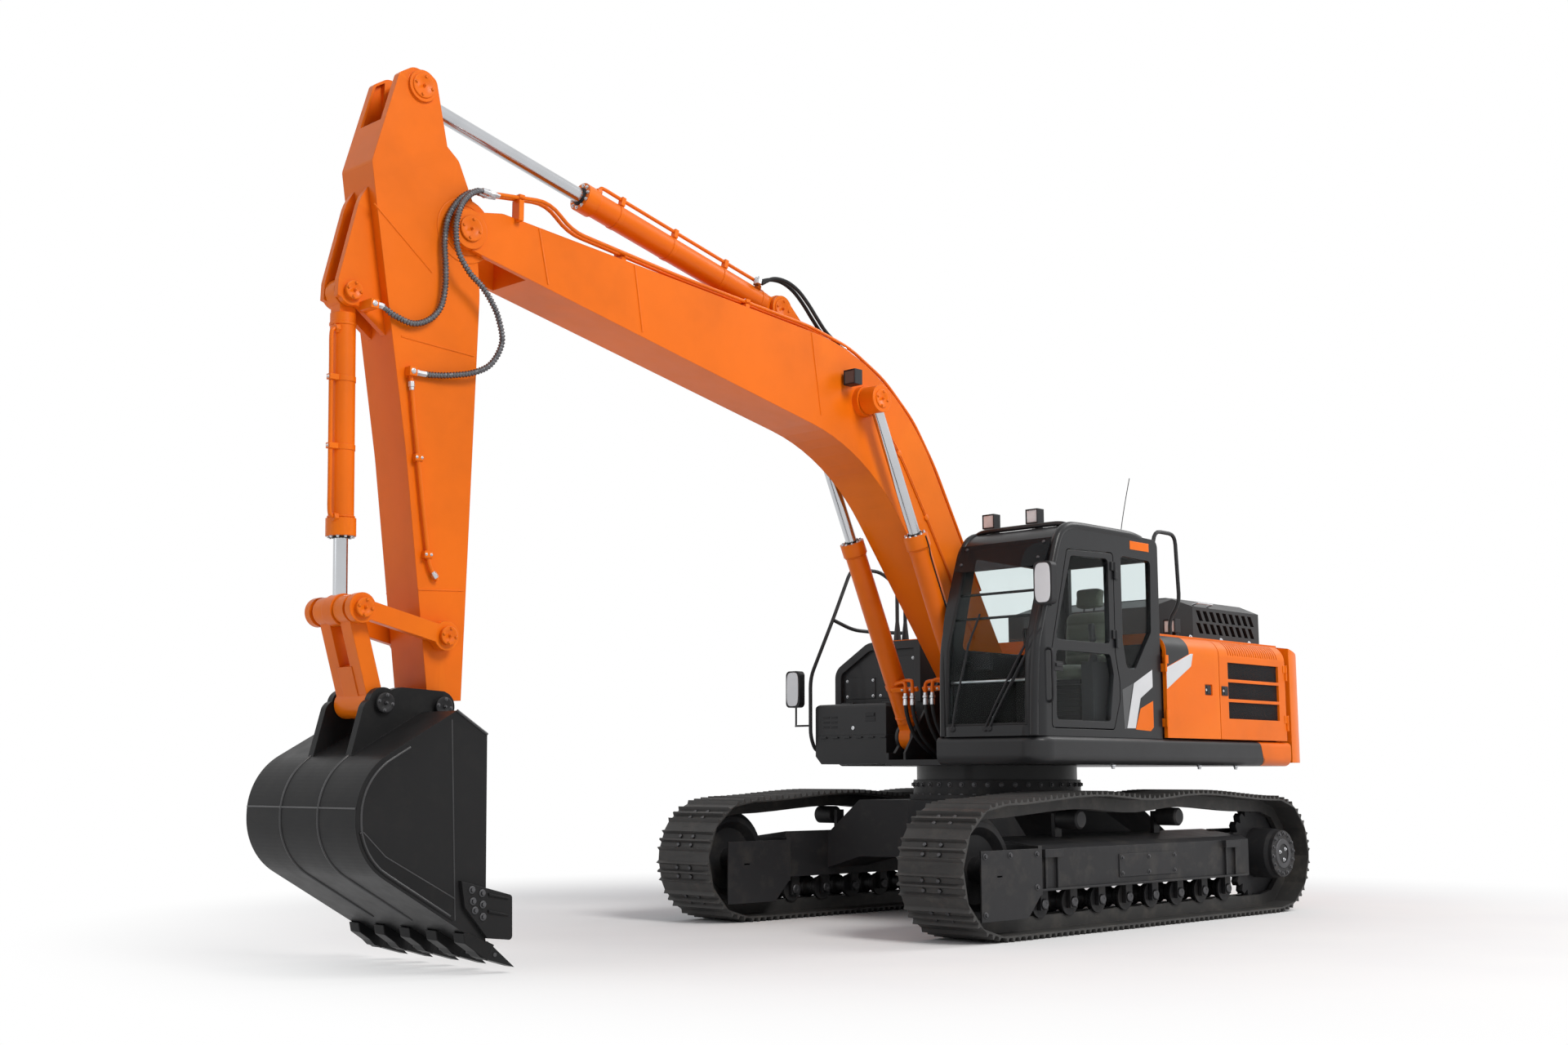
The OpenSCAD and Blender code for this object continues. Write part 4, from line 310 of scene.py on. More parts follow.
class Piece:
    waiting = []

    def __init__(self, name, body, material, bevel=0):
        self.name = name
        self.body = body
        self.material = material
        self.bevel = bevel
        self.bm = bmesh.new()
        Piece.waiting.append(self)

    def add(self, points, faces):
        verts = [self.bm.verts.new(p) for p in points]
        for face in faces:
            self.bm.faces.new([verts[i] for i in face])

    def stack(self, rows, loop=False):
        """A skin over rows of points, closed by flat ends or, as a loop, by its first row."""
        n = len(rows[0])
        total = n * len(rows)
        faces = []
        for i in range(0, total if loop else total - n, n):
            m = (i + n) % total
            faces += [(i + k, i + (k + 1) % n, m + (k + 1) % n, m + k) for k in range(n)]
        if not loop:
            faces += [tuple(reversed(range(n))), tuple(range(total - n, total))]
        self.add([p for row in rows for p in row], faces)

    def box(self, a, b):
        """A box between two opposite corners."""
        xs, ys, zs = (sorted(pair) for pair in zip(a, b))
        points = [(x, y, z) for z in zs for y in ys for x in xs]
        faces = [(0, 2, 3, 1), (4, 5, 7, 6), (0, 1, 5, 4), (2, 6, 7, 3), (0, 4, 6, 2), (1, 3, 7, 5)]
        self.add(points, faces)

    def prism(self, outline, axis, a, b):
        """An outline in the two other axes, made solid along axis from a to b."""
        spot = "xyz".index(axis)
        self.stack([[(*p[:spot], d, *p[spot:]) for p in outline] for d in sorted((a, b))])

    def plate(self, places, a, b):
        """An outline of places in X and Z, made solid in Y from a to b."""
        self.prism([(p.x, p.z) for p in places], "y", a, b)

    def lathe(self, base, way, profile, sides=24):
        """A profile of (distance along way, radius) turned about the line from base along way."""
        way, arms = spokes(way, sides)
        self.stack([[Vector(base) + way * along + arm * r for arm in arms] for along, r in profile])

    def ring(self, base, way, profile, sides=32):
        """A closed profile of (distance along way, radius), turned in the same manner."""
        way, arms = spokes(way, sides)
        rows = [[Vector(base) + way * along + arm * r for along, r in profile] for arm in arms]
        self.stack(rows, loop=True)

    def band(self, base, way, half, low, high, sides=32):
        """A plain ring from radius low to high, half wide to each side of base."""
        self.ring(base, way, [(-half, low), (half, low), (half, high), (-half, high)], sides)

    def rod(self, a, b, r, sides=16):
        way = Vector(b) - Vector(a)
        self.lathe(a, way, [(0, r), (way.length, r)], sides)

    def bolt(self, at, way, r, h):
        """A hex head on a washer."""
        self.lathe(at, way, [(0, r * 1.55), (h * 0.22, r * 1.55), (h * 0.25, r * 1.45)], 14)
        head = Vector(at) + Vector(way).normalized() * h * 0.2
        self.lathe(head, way, [(0, r), (h * 0.7, r), (h * 0.82, r * 0.86)], 6)

    def bolt_circle(self, centre, way, circle_r, count, r, h, turn=0):
        way, arms = spokes(way, count, turn)
        for arm in arms:
            self.bolt(Vector(centre) + arm * circle_r, way, r, h)

    def tube(self, route, r, sides=12):
        """A swept tube; r is its radius, or a list with the radius at each point."""
        radii = r if isinstance(r, list) else [r] * len(route)
        route = [Vector(p) for p in route]
        angles = [2 * math.pi * k / sides for k in range(sides)]
        rows = []
        side = None
        for i, p in enumerate(route):
            way = (route[min(i + 1, len(route) - 1)] - route[max(i - 1, 0)]).normalized()
            side = way.orthogonal() if side is None else side - way * side.dot(way)
            side.normalize()
            up = way.cross(side)
            rows.append([p + (side * math.cos(a) + up * math.sin(a)) * radii[i] for a in angles])
        self.stack(rows)

    def pipe(self, points, steps, r, sides=12):
        """A tube along the smooth line through points."""
        self.tube(smooth_line(points, steps), r, sides)

    def seam(self, a, b, steps, r):
        """A straight bead from a to b."""
        self.tube([a.lerp(b, k / steps) for k in range(steps + 1)], r, 8)

    def slab(self, outer, inner):
        """A closed sheet between two grids of points of the same shape."""
        rows, cols = len(outer), len(outer[0])
        half = rows * cols
        points = [p for row in outer + inner for p in row]
        faces = []
        for i in range(rows - 1):
            for j in range(cols - 1):
                a, b = i * cols + j, (i + 1) * cols + j
                faces.append((a, a + 1, b + 1, b))
                faces.append((half + b, half + b + 1, half + a + 1, half + a))
        rim = list(range(cols)) + [(i + 1) * cols - 1 for i in range(1, rows)]
        rim += [(rows - 1) * cols + j for j in range(cols - 2, -1, -1)]
        rim += [i * cols for i in range(rows - 2, 0, -1)]
        for a, b in zip(rim, rim[1:] + rim[:1]):
            faces.append((b, a, half + a, half + b))
        self.add(points, faces)

    def make(self):
        Piece.waiting.remove(self)
        bmesh.ops.recalc_face_normals(self.bm, faces=self.bm.faces)
        mesh = bpy.data.meshes.new(self.name)
        self.bm.to_mesh(mesh)
        self.bm.free()
        thing = place_object(self.name, mesh)
        mesh.materials.append(MATERIALS[self.material])
        mesh.shade_smooth()
        mesh.set_sharp_from_angle(angle=math.radians(35))
        if self.bevel > 0:
            modifier = thing.modifiers.new("edges", "BEVEL")
            modifier.width = self.bevel
            modifier.segments = 2
            modifier.limit_method = "ANGLE"
            modifier.angle_limit = math.radians(40)
        if self.body:
            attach(thing, self.body)
        return thing


def make_waiting():
    for piece in list(Piece.waiting):
        piece.make()


def lay_cord(thing, route, line, radius, bodies, start, end, **more):
    """Bake a hose's placement into its mesh."""
    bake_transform(thing)


# Hoses at the arm joint: the routes of the solids, in metres
HOSE_R = 0.022
HOSE_ROUTE_A = [
    (5.6964, 0.205, 4.9847), (5.7624, 0.205, 4.9847), (5.8402, 0.2053, 4.9545), (5.9241, 0.2084, 4.8705),
    (5.9894, 0.2146, 4.7461), (6.0112, 0.2208, 4.5906), (5.9988, 0.2208, 4.4289), (5.9988, 0.2208, 4.2796),
    (6.0299, 0.2208, 4.149), (6.1107, 0.2177, 4.0557), (6.2289, 0.2146, 4.009), (6.3595, 0.2084, 4.037),
    (6.4186, 0.2053, 4.065), (6.4559, 0.2053, 4.0806), (6.4901, 0.2053, 4.0806),
]
HOSE_ROUTE_B = [
    (5.6964, 0.255, 4.9847), (5.7624, 0.255, 4.9847), (5.8433, 0.2675, 4.9451), (5.921, 0.283, 4.8612),
    (5.9646, 0.2923, 4.7585), (5.9801, 0.2986, 4.6497), (5.9583, 0.3017, 4.5191), (5.8712, 0.3017, 4.4009),
    (5.7655, 0.2986, 4.3262), (5.6815, 0.2923, 4.2392), (5.6193, 0.2861, 4.1396), (5.582, 0.2768, 3.9904),
    (5.6504, 0.2612, 3.8411), (5.7748, 0.2457, 3.7633), (5.9303, 0.2239, 3.7229), (6.061, 0.2084, 3.7043),
    (6.1294, 0.2053, 3.7011), (6.1947, 0.2053, 3.7011),
]
SLEEVE_LENGTH = 0.08


def make_hoses():
    things = []
    for letter, route in (("a", HOSE_ROUTE_A), ("b", HOSE_ROUTE_B)):
        line = smooth_line(route, 30)
        length = line_length(line)
        ripple = []
        run = 0
        for i, p in enumerate(line):
            run += (p - line[max(i - 1, 0)]).length
            near_end = run < 0.075 or run > length - 0.07
            wave = HOSE_R - 0.004 + 0.004 * math.sin(2 * math.pi * run / 0.022)
            ripple.append(0.0165 if near_end else wave)
        hose = Piece("arm_hose_" + letter, None, "hose")
        hose.tube(line, ripple, 16)
        things.append(hose.make())
        for body, part, sides in (("boom", line[:26], 12), ("arm", line[-40:][::-1], 6)):
            steps = part[:1]
            run = 0
            for p in part[1:]:
                run += (p - steps[-1]).length
                steps.append(p)
                if run > SLEEVE_LENGTH:
                    break
            sleeve = Piece("arm_hose_" + letter + "_end_" + body, body, "zinc", 0.001)
            sizes = [0.0235 if i < len(steps) * 0.3 else 0.0205 for i in range(len(steps))]
            sleeve.tube(steps, sizes, sides)
            sleeve.make()
        lay_cord(things[-1], route, line, HOSE_R, ("boom", "arm"), route[2], route[-3], far_end="object")
    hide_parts("arm_hoses")


# Places on the boom, arm and bucket in shares of their lengths, as in the solids
def boom_at(u, y, w):
    return Vector((0.257 + 6.2 * u, y, 1.987 + 6.2 * w))


def arm_at(u, y, w):
    return Vector((5.8246 + 3.11 * u, y, 4.715 + 3.11 * w))


def bucket_at(u, y, w):
    return Vector((5.9468 + 1.6 * u, y, 1.6069 + 1.6 * w))


class Axis:
    """A cylinder's line in X and Z, from its base pin to its rod pin."""

    def __init__(self, base, tip):
        self.base = Vector((base[0], 0, base[1]))
        self.way = (Vector((tip[0], 0, tip[1])) - self.base).normalized()
        self.out = Vector((-self.way.z, 0, self.way.x))

    def at(self, along, out=0, y=0):
        return self.base + self.way * along + self.out * out + Vector((0, y, 0))


LIFT = Axis((0.719, 1.511), (1.9713, 4.1576))
CROWD = Axis((2.7686, 4.7987), (6.1875, 5.6014))
CURL = Axis((6.6037, 4.1698), (6.5455, 2.1859))
LIFT_Y = 0.345

# Hoses from the swing frame up to the pipe bends of the boom cylinders
FEED_YS = (-0.14, -0.065, 0.075, 0.15)
FEED_R = 0.017


def make_feed_hoses():
    for number, y in enumerate(FEED_YS):
        deep = 0.8 * y
        route = [
            (0.48, deep, 1.313), (0.56, deep, 1.314), (0.66, deep, 1.333), (0.76, deep, 1.378),
            (0.85, 0.9 * y, 1.44), (0.93, y, 1.518), (0.99, y, 1.605), (1.03, y, 1.698), (1.045, y, 1.78),
        ]
        line = smooth_line(route, 12)
        hose = Piece("feed_hose_" + str(number), None, "rubber")
        hose.tube(line, FEED_R, 14)
        thing = hose.make()
        end = Piece("feed_fitting_" + str(number), "boom_barrels", "zinc", 0.001)
        end.lathe((1.045, y, 1.766), UP, [
            (0, 0.0205), (0.042, 0.0205), (0.046, 0.018), (0.056, 0.018), (0.058, 0.0235), (0.076, 0.0235),
            (0.078, 0.0175), (0.098, 0.0175), (0.102, 0.015),
        ], 18)
        lay_cord(
            thing, route, line, FEED_R, ("house", "boom_barrels"), route[1], route[-2], far_end="fitting",
            with_pieces=[end.make()],
        )


def make_feed_pipes():
    pipes = Piece("feed_pipes", "boom_barrels", "orange")
    for number, y in enumerate(FEED_YS):
        side = -1 if y < 0 else 1
        rise = 0.012 * (number % 2)
        pipes.pipe([
            (1.045, y, 1.866), (1.045, y, 1.915), (1.042, y + side * 0.006, 1.944 + rise),
            (1.03, y + side * 0.03, 1.96 + rise), (1.018, (y + side * 0.29) / 2, 1.962 + rise),
            (1.002, side * 0.285, 1.945 + rise),
        ], 8, 0.0145)
    bars = Piece("feed_bars", "boom_barrels", "orange", 0.003)
    bolts = Piece("feed_bar_bolts", "boom_barrels", "zinc")
    corners = ((0.462, -0.089), (0.498, -0.089), (0.498, -0.117), (0.462, -0.117))
    outline = [LIFT.at(along, out) for along, out in corners]
    for side in SIDES:
        bars.plate(outline, side * 0.03, side * 0.31)
        bars.band(LIFT.at(0.48, 0, side * LIFT_Y), LIFT.way, 0.02, 0.087, 0.095)
        for y in (0.105, 0.19):
            bolts.bolt(LIFT.at(0.48, -0.117, side * y), -LIFT.out, 0.008, 0.01)


# Two hoses from the boom's top to the base of the arm cylinder
CROWD_HOSE_YS = (0.135, 0.185)
CROWD_HOSE_R = 0.015


def make_crowd_hoses():
    for number, y in enumerate(CROWD_HOSE_YS):
        route = [
            (2.2, y, 4.6), (2.27, y, 4.622), (2.37, y, 4.68), (2.47, y, 4.77), (2.57, 0.98 * y, 4.87),
            (2.68, 0.95 * y, 4.955), (2.8, 0.9 * y, 5), (2.92, 0.8 * y, 5),
            (3.02, 0.66 * y, 4.965 - 0.02 * number),
        ]
        line = smooth_line(route, 10)
        hose = Piece("crowd_hose_" + str(number), None, "rubber")
        hose.tube(line, CROWD_HOSE_R)
        bodies = ("boom", "arm_barrel")
        lay_cord(hose.make(), route, line, CROWD_HOSE_R, bodies, route[1], route[-2], far_end="object")
    ports = Piece("crowd_ports", "arm_barrel", "zinc", 0.001)
    roots = Piece("crowd_hose_roots", "boom", "zinc", 0.001)
    for y in CROWD_HOSE_YS:
        profile = [(0, 0.021), (0.03, 0.021), (0.032, 0.018), (0.075, 0.018)]
        roots.lathe((2.135, y, 4.573), (0.9, 0, 0.3), profile, 6)
        profile = [(0, 0.024), (0.035, 0.024), (0.038, 0.019), (0.06, 0.019)]
        ports.lathe(CROWD.at(0.3, 0.075, 0.6 * y), (-0.25, 0, 0.97), profile, 6)


# Cylinders: gland bolts, rod seals, barrel bands, painted rod eyes, feed pipes with straps, lube lines
BARRELS = [
    ("lift", LIFT, (-LIFT_Y, LIFT_Y), "boom_barrels", 1.78, 0.088, 0.0475),
    ("crowd", CROWD, (0,), "arm_barrel", 2.01, 0.092, 0.0525),
    ("curl", CURL, (0,), "bucket_barrel", 1.53, 0.079, 0.045),
]
ROD_EYES = [
    ("lift", "boom_rods", LIFT.at(2.928), (-0.3569, 0.3569), 0.0746, 0.1106),
    ("crowd", "arm_rod", CROWD.at(3.5119), (0,), 0.063, 0.0956),
    ("curl", "bucket_rod", CURL.at(1.9848), (0,), 0.053, 0.0995),
]
CYLINDER_FEEDS = [
    ("crowd", CROWD, "arm_barrel", 0.052, 0.092, 0.25, 1.9, (0.62, 1.15, 1.68)),
    ("curl", CURL, "bucket_barrel", 0.046, 0.079, 0.24, 1.42, (0.55, 0.98)),
]


def make_cylinders():
    for name, axis, ys, body, length, r, rod in BARRELS:
        bolts = Piece(name + "_gland_bolts", body, "zinc")
        seals = Piece(name + "_rod_seals", body, "rubber")
        bands = Piece(name + "_barrel_bands", body, "orange", 0.0015)
        low = r - 0.001
        for y in ys:
            end = axis.at(length, 0, y)
            bolts.bolt_circle(end, axis.way, (rod + r + 0.014) / 2 + 0.006, 10, 0.009, 0.012)
            seals.ring(end, axis.way, [
                (-0.001, rod + 0.001), (0.012, rod + 0.001), (0.012, rod + 0.01), (-0.001, rod + 0.016),
            ])
            profile = [(-0.01, low), (0.008, low), (0.004, r + 0.006), (-0.006, r + 0.006)]
            bands.ring(axis.at(length - 0.118, 0, y), axis.way, profile)
            profile = [(-0.012, low), (0.012, low), (0.008, r + 0.005), (-0.008, r + 0.005)]
            bands.ring(axis.at(0.2, 0, y), axis.way, profile)
    for name, body, at, ys, half, r in ROD_EYES:
        eye = Piece(name + "_rod_eye", body, "orange", 0.003)
        for y in ys:
            eye.band((at.x, y, at.z), (0, 1, 0), half, 0.05, r, 44)
    for name, axis, body, y, r, start, stop, strap_places in CYLINDER_FEEDS:
        pipe = Piece(name + "_feed_pipe", body, "orange")
        high = r + 0.03
        bend = [(0, r * 0.7), (0.01, high - 0.012), (0.05, high), (0.2, high)]
        run = [(start + a, out) for a, out in bend] + [((start + stop) / 2, high)]
        run += [(stop - a, out) for a, out in reversed(bend)]
        pipe.pipe([axis.at(along, out, y) for along, out in run], 8, 0.0135)
        straps = Piece(name + "_feed_straps", body, "orange", 0.002)
        bolts = Piece(name + "_feed_bolts", body, "zinc")
        low, top, half = r * 0.8, high + 0.018, 0.018
        for along in strap_places:
            straps.band(axis.at(along), axis.way, half, r - 0.001, r + 0.004, 40)
            corners = ((-half, low), (half, low), (half, top), (-half, top))
            straps.plate([axis.at(along + a, o) for a, o in corners], y - 0.022, y + 0.022)
            bolts.bolt(axis.at(along, top, y), axis.out, 0.007, 0.009)
        for along in (start, stop):
            straps.lathe(axis.at(along, r * 0.72, y), axis.out, [(0, 0.03), (0.026, 0.03), (0.03, 0.026)], 6)
    lines = Piece("lift_lube_lines", "boom_barrels", "rubber")
    run = ((0.82, 0.428), (0.86, 0.439), (1.2, 0.439), (1.55, 0.439), (1.66, 0.451), (1.76, 0.451))
    for side in SIDES:
        lines.pipe([LIFT.at(along, 0, side * y) for along, y in run], 8, 0.0055, 8)


# Pins: a keeper disc with bolts on each end
PIN_ENDS = [
    ("boom_tip", "boom", (5.8246, 4.715), 0.245, 0.085),
    ("boom_foot", "house", (0.257, 1.987), 0.258, 0.105),
    ("lift_foot", "house", (0.719, 1.511), 0.451, 0.098),
    ("lift_head", "boom_rods", (1.9713, 4.1576), 0.431, 0.075),
    ("crowd_foot", "boom", (2.7686, 4.7987), 0.099, 0.08),
    ("crowd_head", "arm", (6.1875, 5.6014), 0.193, 0.082),
    ("curl_foot", "arm", (6.6037, 4.1698), 0.125, 0.06),
    ("rocker", "arm", (5.9341, 2.0488), 0.279, 0.06),
    ("curl_head", "side_links", (6.5455, 2.1859), 0.279, 0.06),
    ("bucket_pin", "bucket", (5.9468, 1.6069), 0.264, 0.062),
    ("link_pin", "bucket", (6.3718, 1.6189), 0.264, 0.062),
]


def make_pins():
    for name, body, (x, z), y, r in PIN_ENDS:
        dark = body in ("house", "bucket")
        caps = Piece(name + "_caps", body, "black" if dark else "orange")
        bolts = Piece(name + "_cap_bolts", body, "iron" if dark else "orange")
        disc = [(0, r), (0.007, r), (0.01, r - 0.004), (0.01, r * 0.6), (0.008, r * 0.55)]
        nipple = [(0, 0.01), (0.01, 0.01), (0.013, 0.007), (0.02, 0.006)]
        for side in SIDES:
            way = (0, side, 0)
            caps.lathe((x, side * (y - 0.001), z), way, disc, 40)
            bolts.bolt_circle((x, side * (y + 0.008), z), way, r * 0.76, 4, 0.008, 0.009, 0.6)
            bolts.lathe((x, side * (y + 0.006), z), way, nipple, 12)


# Square lamp face: a lens and its raised rim, standing on z
def lamp_face(lens, rim, lens_x, rim_x, y, z):
    lens.box((lens_x[0], y - 0.05, z + 0.01), (lens_x[1], y + 0.05, z + 0.11))
    for side in SIDES:
        rim.box((rim_x[0], y + side * 0.05, z), (rim_x[1], y + side * 0.06, z + 0.12))
    for low in (z, z + 0.11):
        rim.box((rim_x[0], y - 0.05, low), (rim_x[1], y + 0.05, low + 0.01))


# Boom: pipe straps and nuts, lamp lens with its rim, grease lines with clips, weld seams
BOOM_SEAMS = [
    ((0.355, 0.322), (0.372, 0.425)), ((0.655, 0.374), (0.668, 0.4505)), ((0.792, 0.402), (0.806, 0.462)),
]
GREASE_RUN = [(0.05, 0.055), (0.09, 0.118), (0.15, 0.21), (0.205, 0.29), (0.24, 0.326), (0.258, 0.34)]


def make_boom():
    straps = Piece("boom_pipe_straps", "boom", "orange", 0.002)
    bolts = Piece("boom_strap_bolts", "boom", "zinc")
    for u, y, w in ((0.4838, 0.17, 0.44375), (0.6825, 0.17, 0.4605), (0.836, 0.23, 0.4883)):
        p = boom_at(u, y, w)
        straps.box(p - Vector((0.022, 0.047, 0.006)), p + Vector((0.022, 0.047, 0.019)))
        for side in SIDES:
            bolts.bolt(p + Vector((0, side * 0.01, 0.019)), UP, 0.007, 0.01)
    nuts = Piece("boom_pipe_nuts", "boom", "zinc", 0.001)
    for y in (0.255, 0.205):
        nuts.lathe((5.615, y, 4.985), AHEAD, [
            (0, 0.0175), (0.028, 0.0175), (0.03, 0.0215), (0.064, 0.0215), (0.068, 0.0185), (0.076, 0.0185),
        ], 6)
    lens = Piece("boom_lamp_lens", "boom", "dim_lens", 0.003)
    rim = Piece("boom_lamp_rim", "boom", "plastic", 0.002)
    lamp_face(lens, rim, (2.218, 2.224), (2.2185, 2.2275), 0.31, 4.252)
    lines = Piece("boom_grease_lines", "boom", "orange")
    clips = Piece("boom_grease_clips", "boom", "orange")
    seams = Piece("boom_seams", "boom", "orange")
    for side in SIDES:
        for lift in (0, 0.004):
            lines.pipe([boom_at(u, side * 0.2255, w + lift) for u, w in GREASE_RUN], 6, 0.0055, 8)
        for u, w in GREASE_RUN[1:4]:
            spot = boom_at(u, side * 0.219, w + 0.002)
            clips.lathe(spot, (0, side, 0), [(0, 0.028), (0.012, 0.028), (0.014, 0.024)], 6)
        for (u0, w0), (u1, w1) in BOOM_SEAMS:
            seams.seam(boom_at(u0, side * 0.2195, w0), boom_at(u1, side * 0.2195, w1), 20, 0.007)


# Arm: pipe straps and nuts, hose elbows, pivot rings, weld seams
ARM_SEAMS = [
    ((-0.03, -0.265), (0.148, -0.255), 24), ((-0.02, -0.76), (0.09, -0.766), 20),
    ((0.079, -0.107), (0.222, 0.007), 20),
]


def make_arm():
    straps = Piece("arm_pipe_straps", "arm", "orange", 0.002)
    bolts = Piece("arm_strap_bolts", "arm", "zinc")
    for u, w in ((0.105, -0.5), (0.076, -0.695)):
        p = arm_at(u, 0.214, w)
        straps.box(p - Vector((0.03, 0.004, 0.02)), p + Vector((0.03, 0.006, 0.02)))
        for side in SIDES:
            bolts.bolt(p + Vector((side * 0.019, 0.006, 0)), (0, 1, 0), 0.006, 0.008)
    nuts = Piece("arm_pipe_nuts", "arm", "zinc", 0.001)
    way = arm_at(0.12, 0.2, -0.4) - arm_at(0.1277, 0.2, -0.334)
    profile = [(0, 0.0215), (0.034, 0.0215), (0.036, 0.0175), (0.055, 0.0175)]
    nuts.lathe(arm_at(0.1262, 0.2, -0.346), way, profile, 6)
    way = arm_at(0.07, 0.2, -0.72) - arm_at(0.05, 0.2, -0.745)
    profile = [(0, 0.0215), (0.03, 0.0215), (0.032, 0.0175), (0.045, 0.0175)]
    nuts.lathe(arm_at(0.0535, 0.2, -0.74), way, profile, 6)
    elbows = Piece("arm_cylinder_elbow", "arm", "zinc", 0.001)
    for x, z in ((6.5182, 4.0806), (6.223, 3.701)):
        profile = [(0, 0.02), (0.01, 0.02), (0.012, 0.014), (0.016, 0.014)]
        elbows.lathe((x, 0.226, z), (0, 1, 0), profile, 6)
    discs = Piece("arm_pivot_rings", "arm", "orange", 0.002)
    seams = Piece("arm_seams", "arm", "orange")
    for side in SIDES:
        y = side * 0.1745
        profile = [(0, 0.168), (0.005, 0.168), (0.005, 0.215), (0, 0.222)]
        discs.ring((5.8246, y, 4.715), (0, side, 0), profile, 56)
        for (u0, w0), (u1, w1), steps in ARM_SEAMS:
            seams.seam(arm_at(u0, y, w0), arm_at(u1, y, w1), steps, 0.006)


# Bucket: side plates with edges, cutter bolts and ribs, tooth adapters with pins, weld seams
BUCKET_BACK = [
    (6.1, 0.315), (6.34, 0.455), (6.575, 0.593), (6.642, 0.643), (6.697, 0.705), (6.738, 0.777),
    (6.764, 0.856), (6.772, 0.938), (6.769, 1.011), (6.751, 1.088), (6.718, 1.16), (6.671, 1.224),
    (6.612, 1.278), (6.568, 1.307), (6.42, 1.39),
]
SIDE_PLATE = [
    (0.4989, -0.4673), (0.483, -0.466), (0.389, -0.554), (0.086, -0.715), (0.0898, -0.7966),
    (0.2398, -0.7096), (0.3866, -0.6233), (0.4264, -0.5936), (0.4591, -0.5567), (0.4835, -0.5138),
]
CUTTER_BOLTS = [
    (0.02, -0.686), (-0.027, -0.7), (0.014, -0.728), (-0.031, -0.742), (0.004, -0.762), (-0.033, -0.787),
]
CUTTER_RIB = [(-0.055, -0.7), (-0.15, -0.722), (-0.15, -0.728), (-0.055, -0.712)]
TEETH = 5
TEETH_SPAN = 1.23 - 0.096


def make_bucket():
    plates = Piece("bucket_side_plates", "bucket", "bucket", 0.002)
    bolts = Piece("bucket_cutter_bolts", "bucket", "iron")
    ribs = Piece("bucket_cutter_ribs", "bucket", "bucket", 0.004)
    # The plate edges take the lighter seam paint: a painted highlight along the rims
    edges = Piece("bucket_plate_edges", "bucket", "seam")
    for side in SIDES:
        plates.plate([bucket_at(u, 0, w) for u, w in SIDE_PLATE], side * 0.6145, side * 0.6205)
        edges.tube([bucket_at(u, side * 0.62, w) for u, w in SIDE_PLATE[:4]], 0.004, 8)
        for u, w in CUTTER_BOLTS:
            bolts.bolt(bucket_at(u, side * 0.6453, w), (0, side, 0), 0.015, 0.02)
        for drop in (0, -0.062):
            ribs.plate([bucket_at(u, 0, w + drop) for u, w in CUTTER_RIB], side * 0.6445, side * 0.657)
    adapters = Piece("tooth_adapters", "bucket", "bucket", 0.004)
    pins = Piece("tooth_pins", "bucket", "iron")
    lip = bucket_at(-0.062, 0, -0.9)
    along = Vector((-0.2285, 0, -0.124)).normalized()
    out = Vector((-along.z, 0, along.x))
    shape = ((0.05, 0.066), (-0.15, 0.048), (-0.19, 0.002), (-0.15, -0.02), (0.05, -0.036))
    form = [lip + along * a + out * o for a, o in shape]
    middle = lip + along * 0.085 + out * 0.012
    for k in range(TEETH):
        y = (k / (TEETH - 1) - 0.5) * TEETH_SPAN
        adapters.plate(form, y - 0.055, y + 0.055)
        pins.rod((middle.x, y - 0.053, middle.z), (middle.x, y + 0.053, middle.z), 0.013, 12)
    # The weld beads take the lighter seam paint: a painted highlight along them
    seams = Piece("bucket_seams", "bucket", "seam")
    curve = smooth_line([(x, 0, z) for x, z in BUCKET_BACK], 6)
    rim = []
    for i in range(1, len(curve) - 1):
        run = (curve[i + 1] - curve[i - 1]).normalized()
        rim.append((curve[i].x - run.z * 0.036, curve[i].z + run.x * 0.036))
    for side in SIDES:
        y = side * 0.616
        seams.seam(bucket_at(0.094, y, -0.0225), bucket_at(-0.047, y, -0.109), 16, 0.009)
        seams.tube([(p.x, side * 0.211, p.z) for p in curve], 0.008, 8)
        seams.tube([(x, side * 0.6145, z) for x, z in rim], 0.008, 8)
        seams.seam(bucket_at(0.116, side * 0.614, -0.057), bucket_at(0.079, side * 0.614, -0.795), 24, 0.005)
    seams.seam(Vector((6.77, 0.61, 0.997)), Vector((6.77, -0.61, 0.997)), 24, 0.006)


# Coloured fields that follow the panels: an outline in X and distance up the surface
def round_spot(x, y, z, r, a):
    """A place on a round about the line through y and z, and its normal."""
    normal = Vector((0, math.cos(a), math.sin(a)))
    return Vector((x, y, z)) + normal * r, normal


def cab_side(x, s):
    """The cab's left wall with its rear corner."""
    inward = -0.19 - x
    if inward <= 0:
        return Vector((x, 1.465, s)), Vector((0, 1, 0))
    drop = math.sqrt(max(0, 0.15 ** 2 - inward ** 2))
    return Vector((x, 1.315 + drop, s)), Vector((-inward / 0.15, drop / 0.15, 0))


def door_side(x, s):
    """The left doors with their rounded shoulder."""
    if s <= 2.21:
        return Vector((x, 1.495, s)), Vector((0, 1, 0))
    return round_spot(x, 1.345, 2.21, 0.15, (s - 2.21) / 0.15)


def skirt_side(x, s):
    """The left skirt: a large round below, a small one above."""
    if s < 0:
        return round_spot(x, 1.42, 1.345, 0.075, s / 0.075)
    if s > 0.095:
        return round_spot(x, 1.45, 1.44, 0.045, (s - 0.095) / 0.045)
    return Vector((x, 1.495, 1.345 + s)), Vector((0, 1, 0))


def heights_at(outline, x):
    hits = []
    for a, b in zip(outline, outline[1:] + outline[:1]):
        if min(a[0], b[0]) <= x <= max(a[0], b[0]) and a[0] != b[0]:
            hits.append(a[1] + (b[1] - a[1]) * (x - a[0]) / (b[0] - a[0]))
    return min(hits), max(hits)


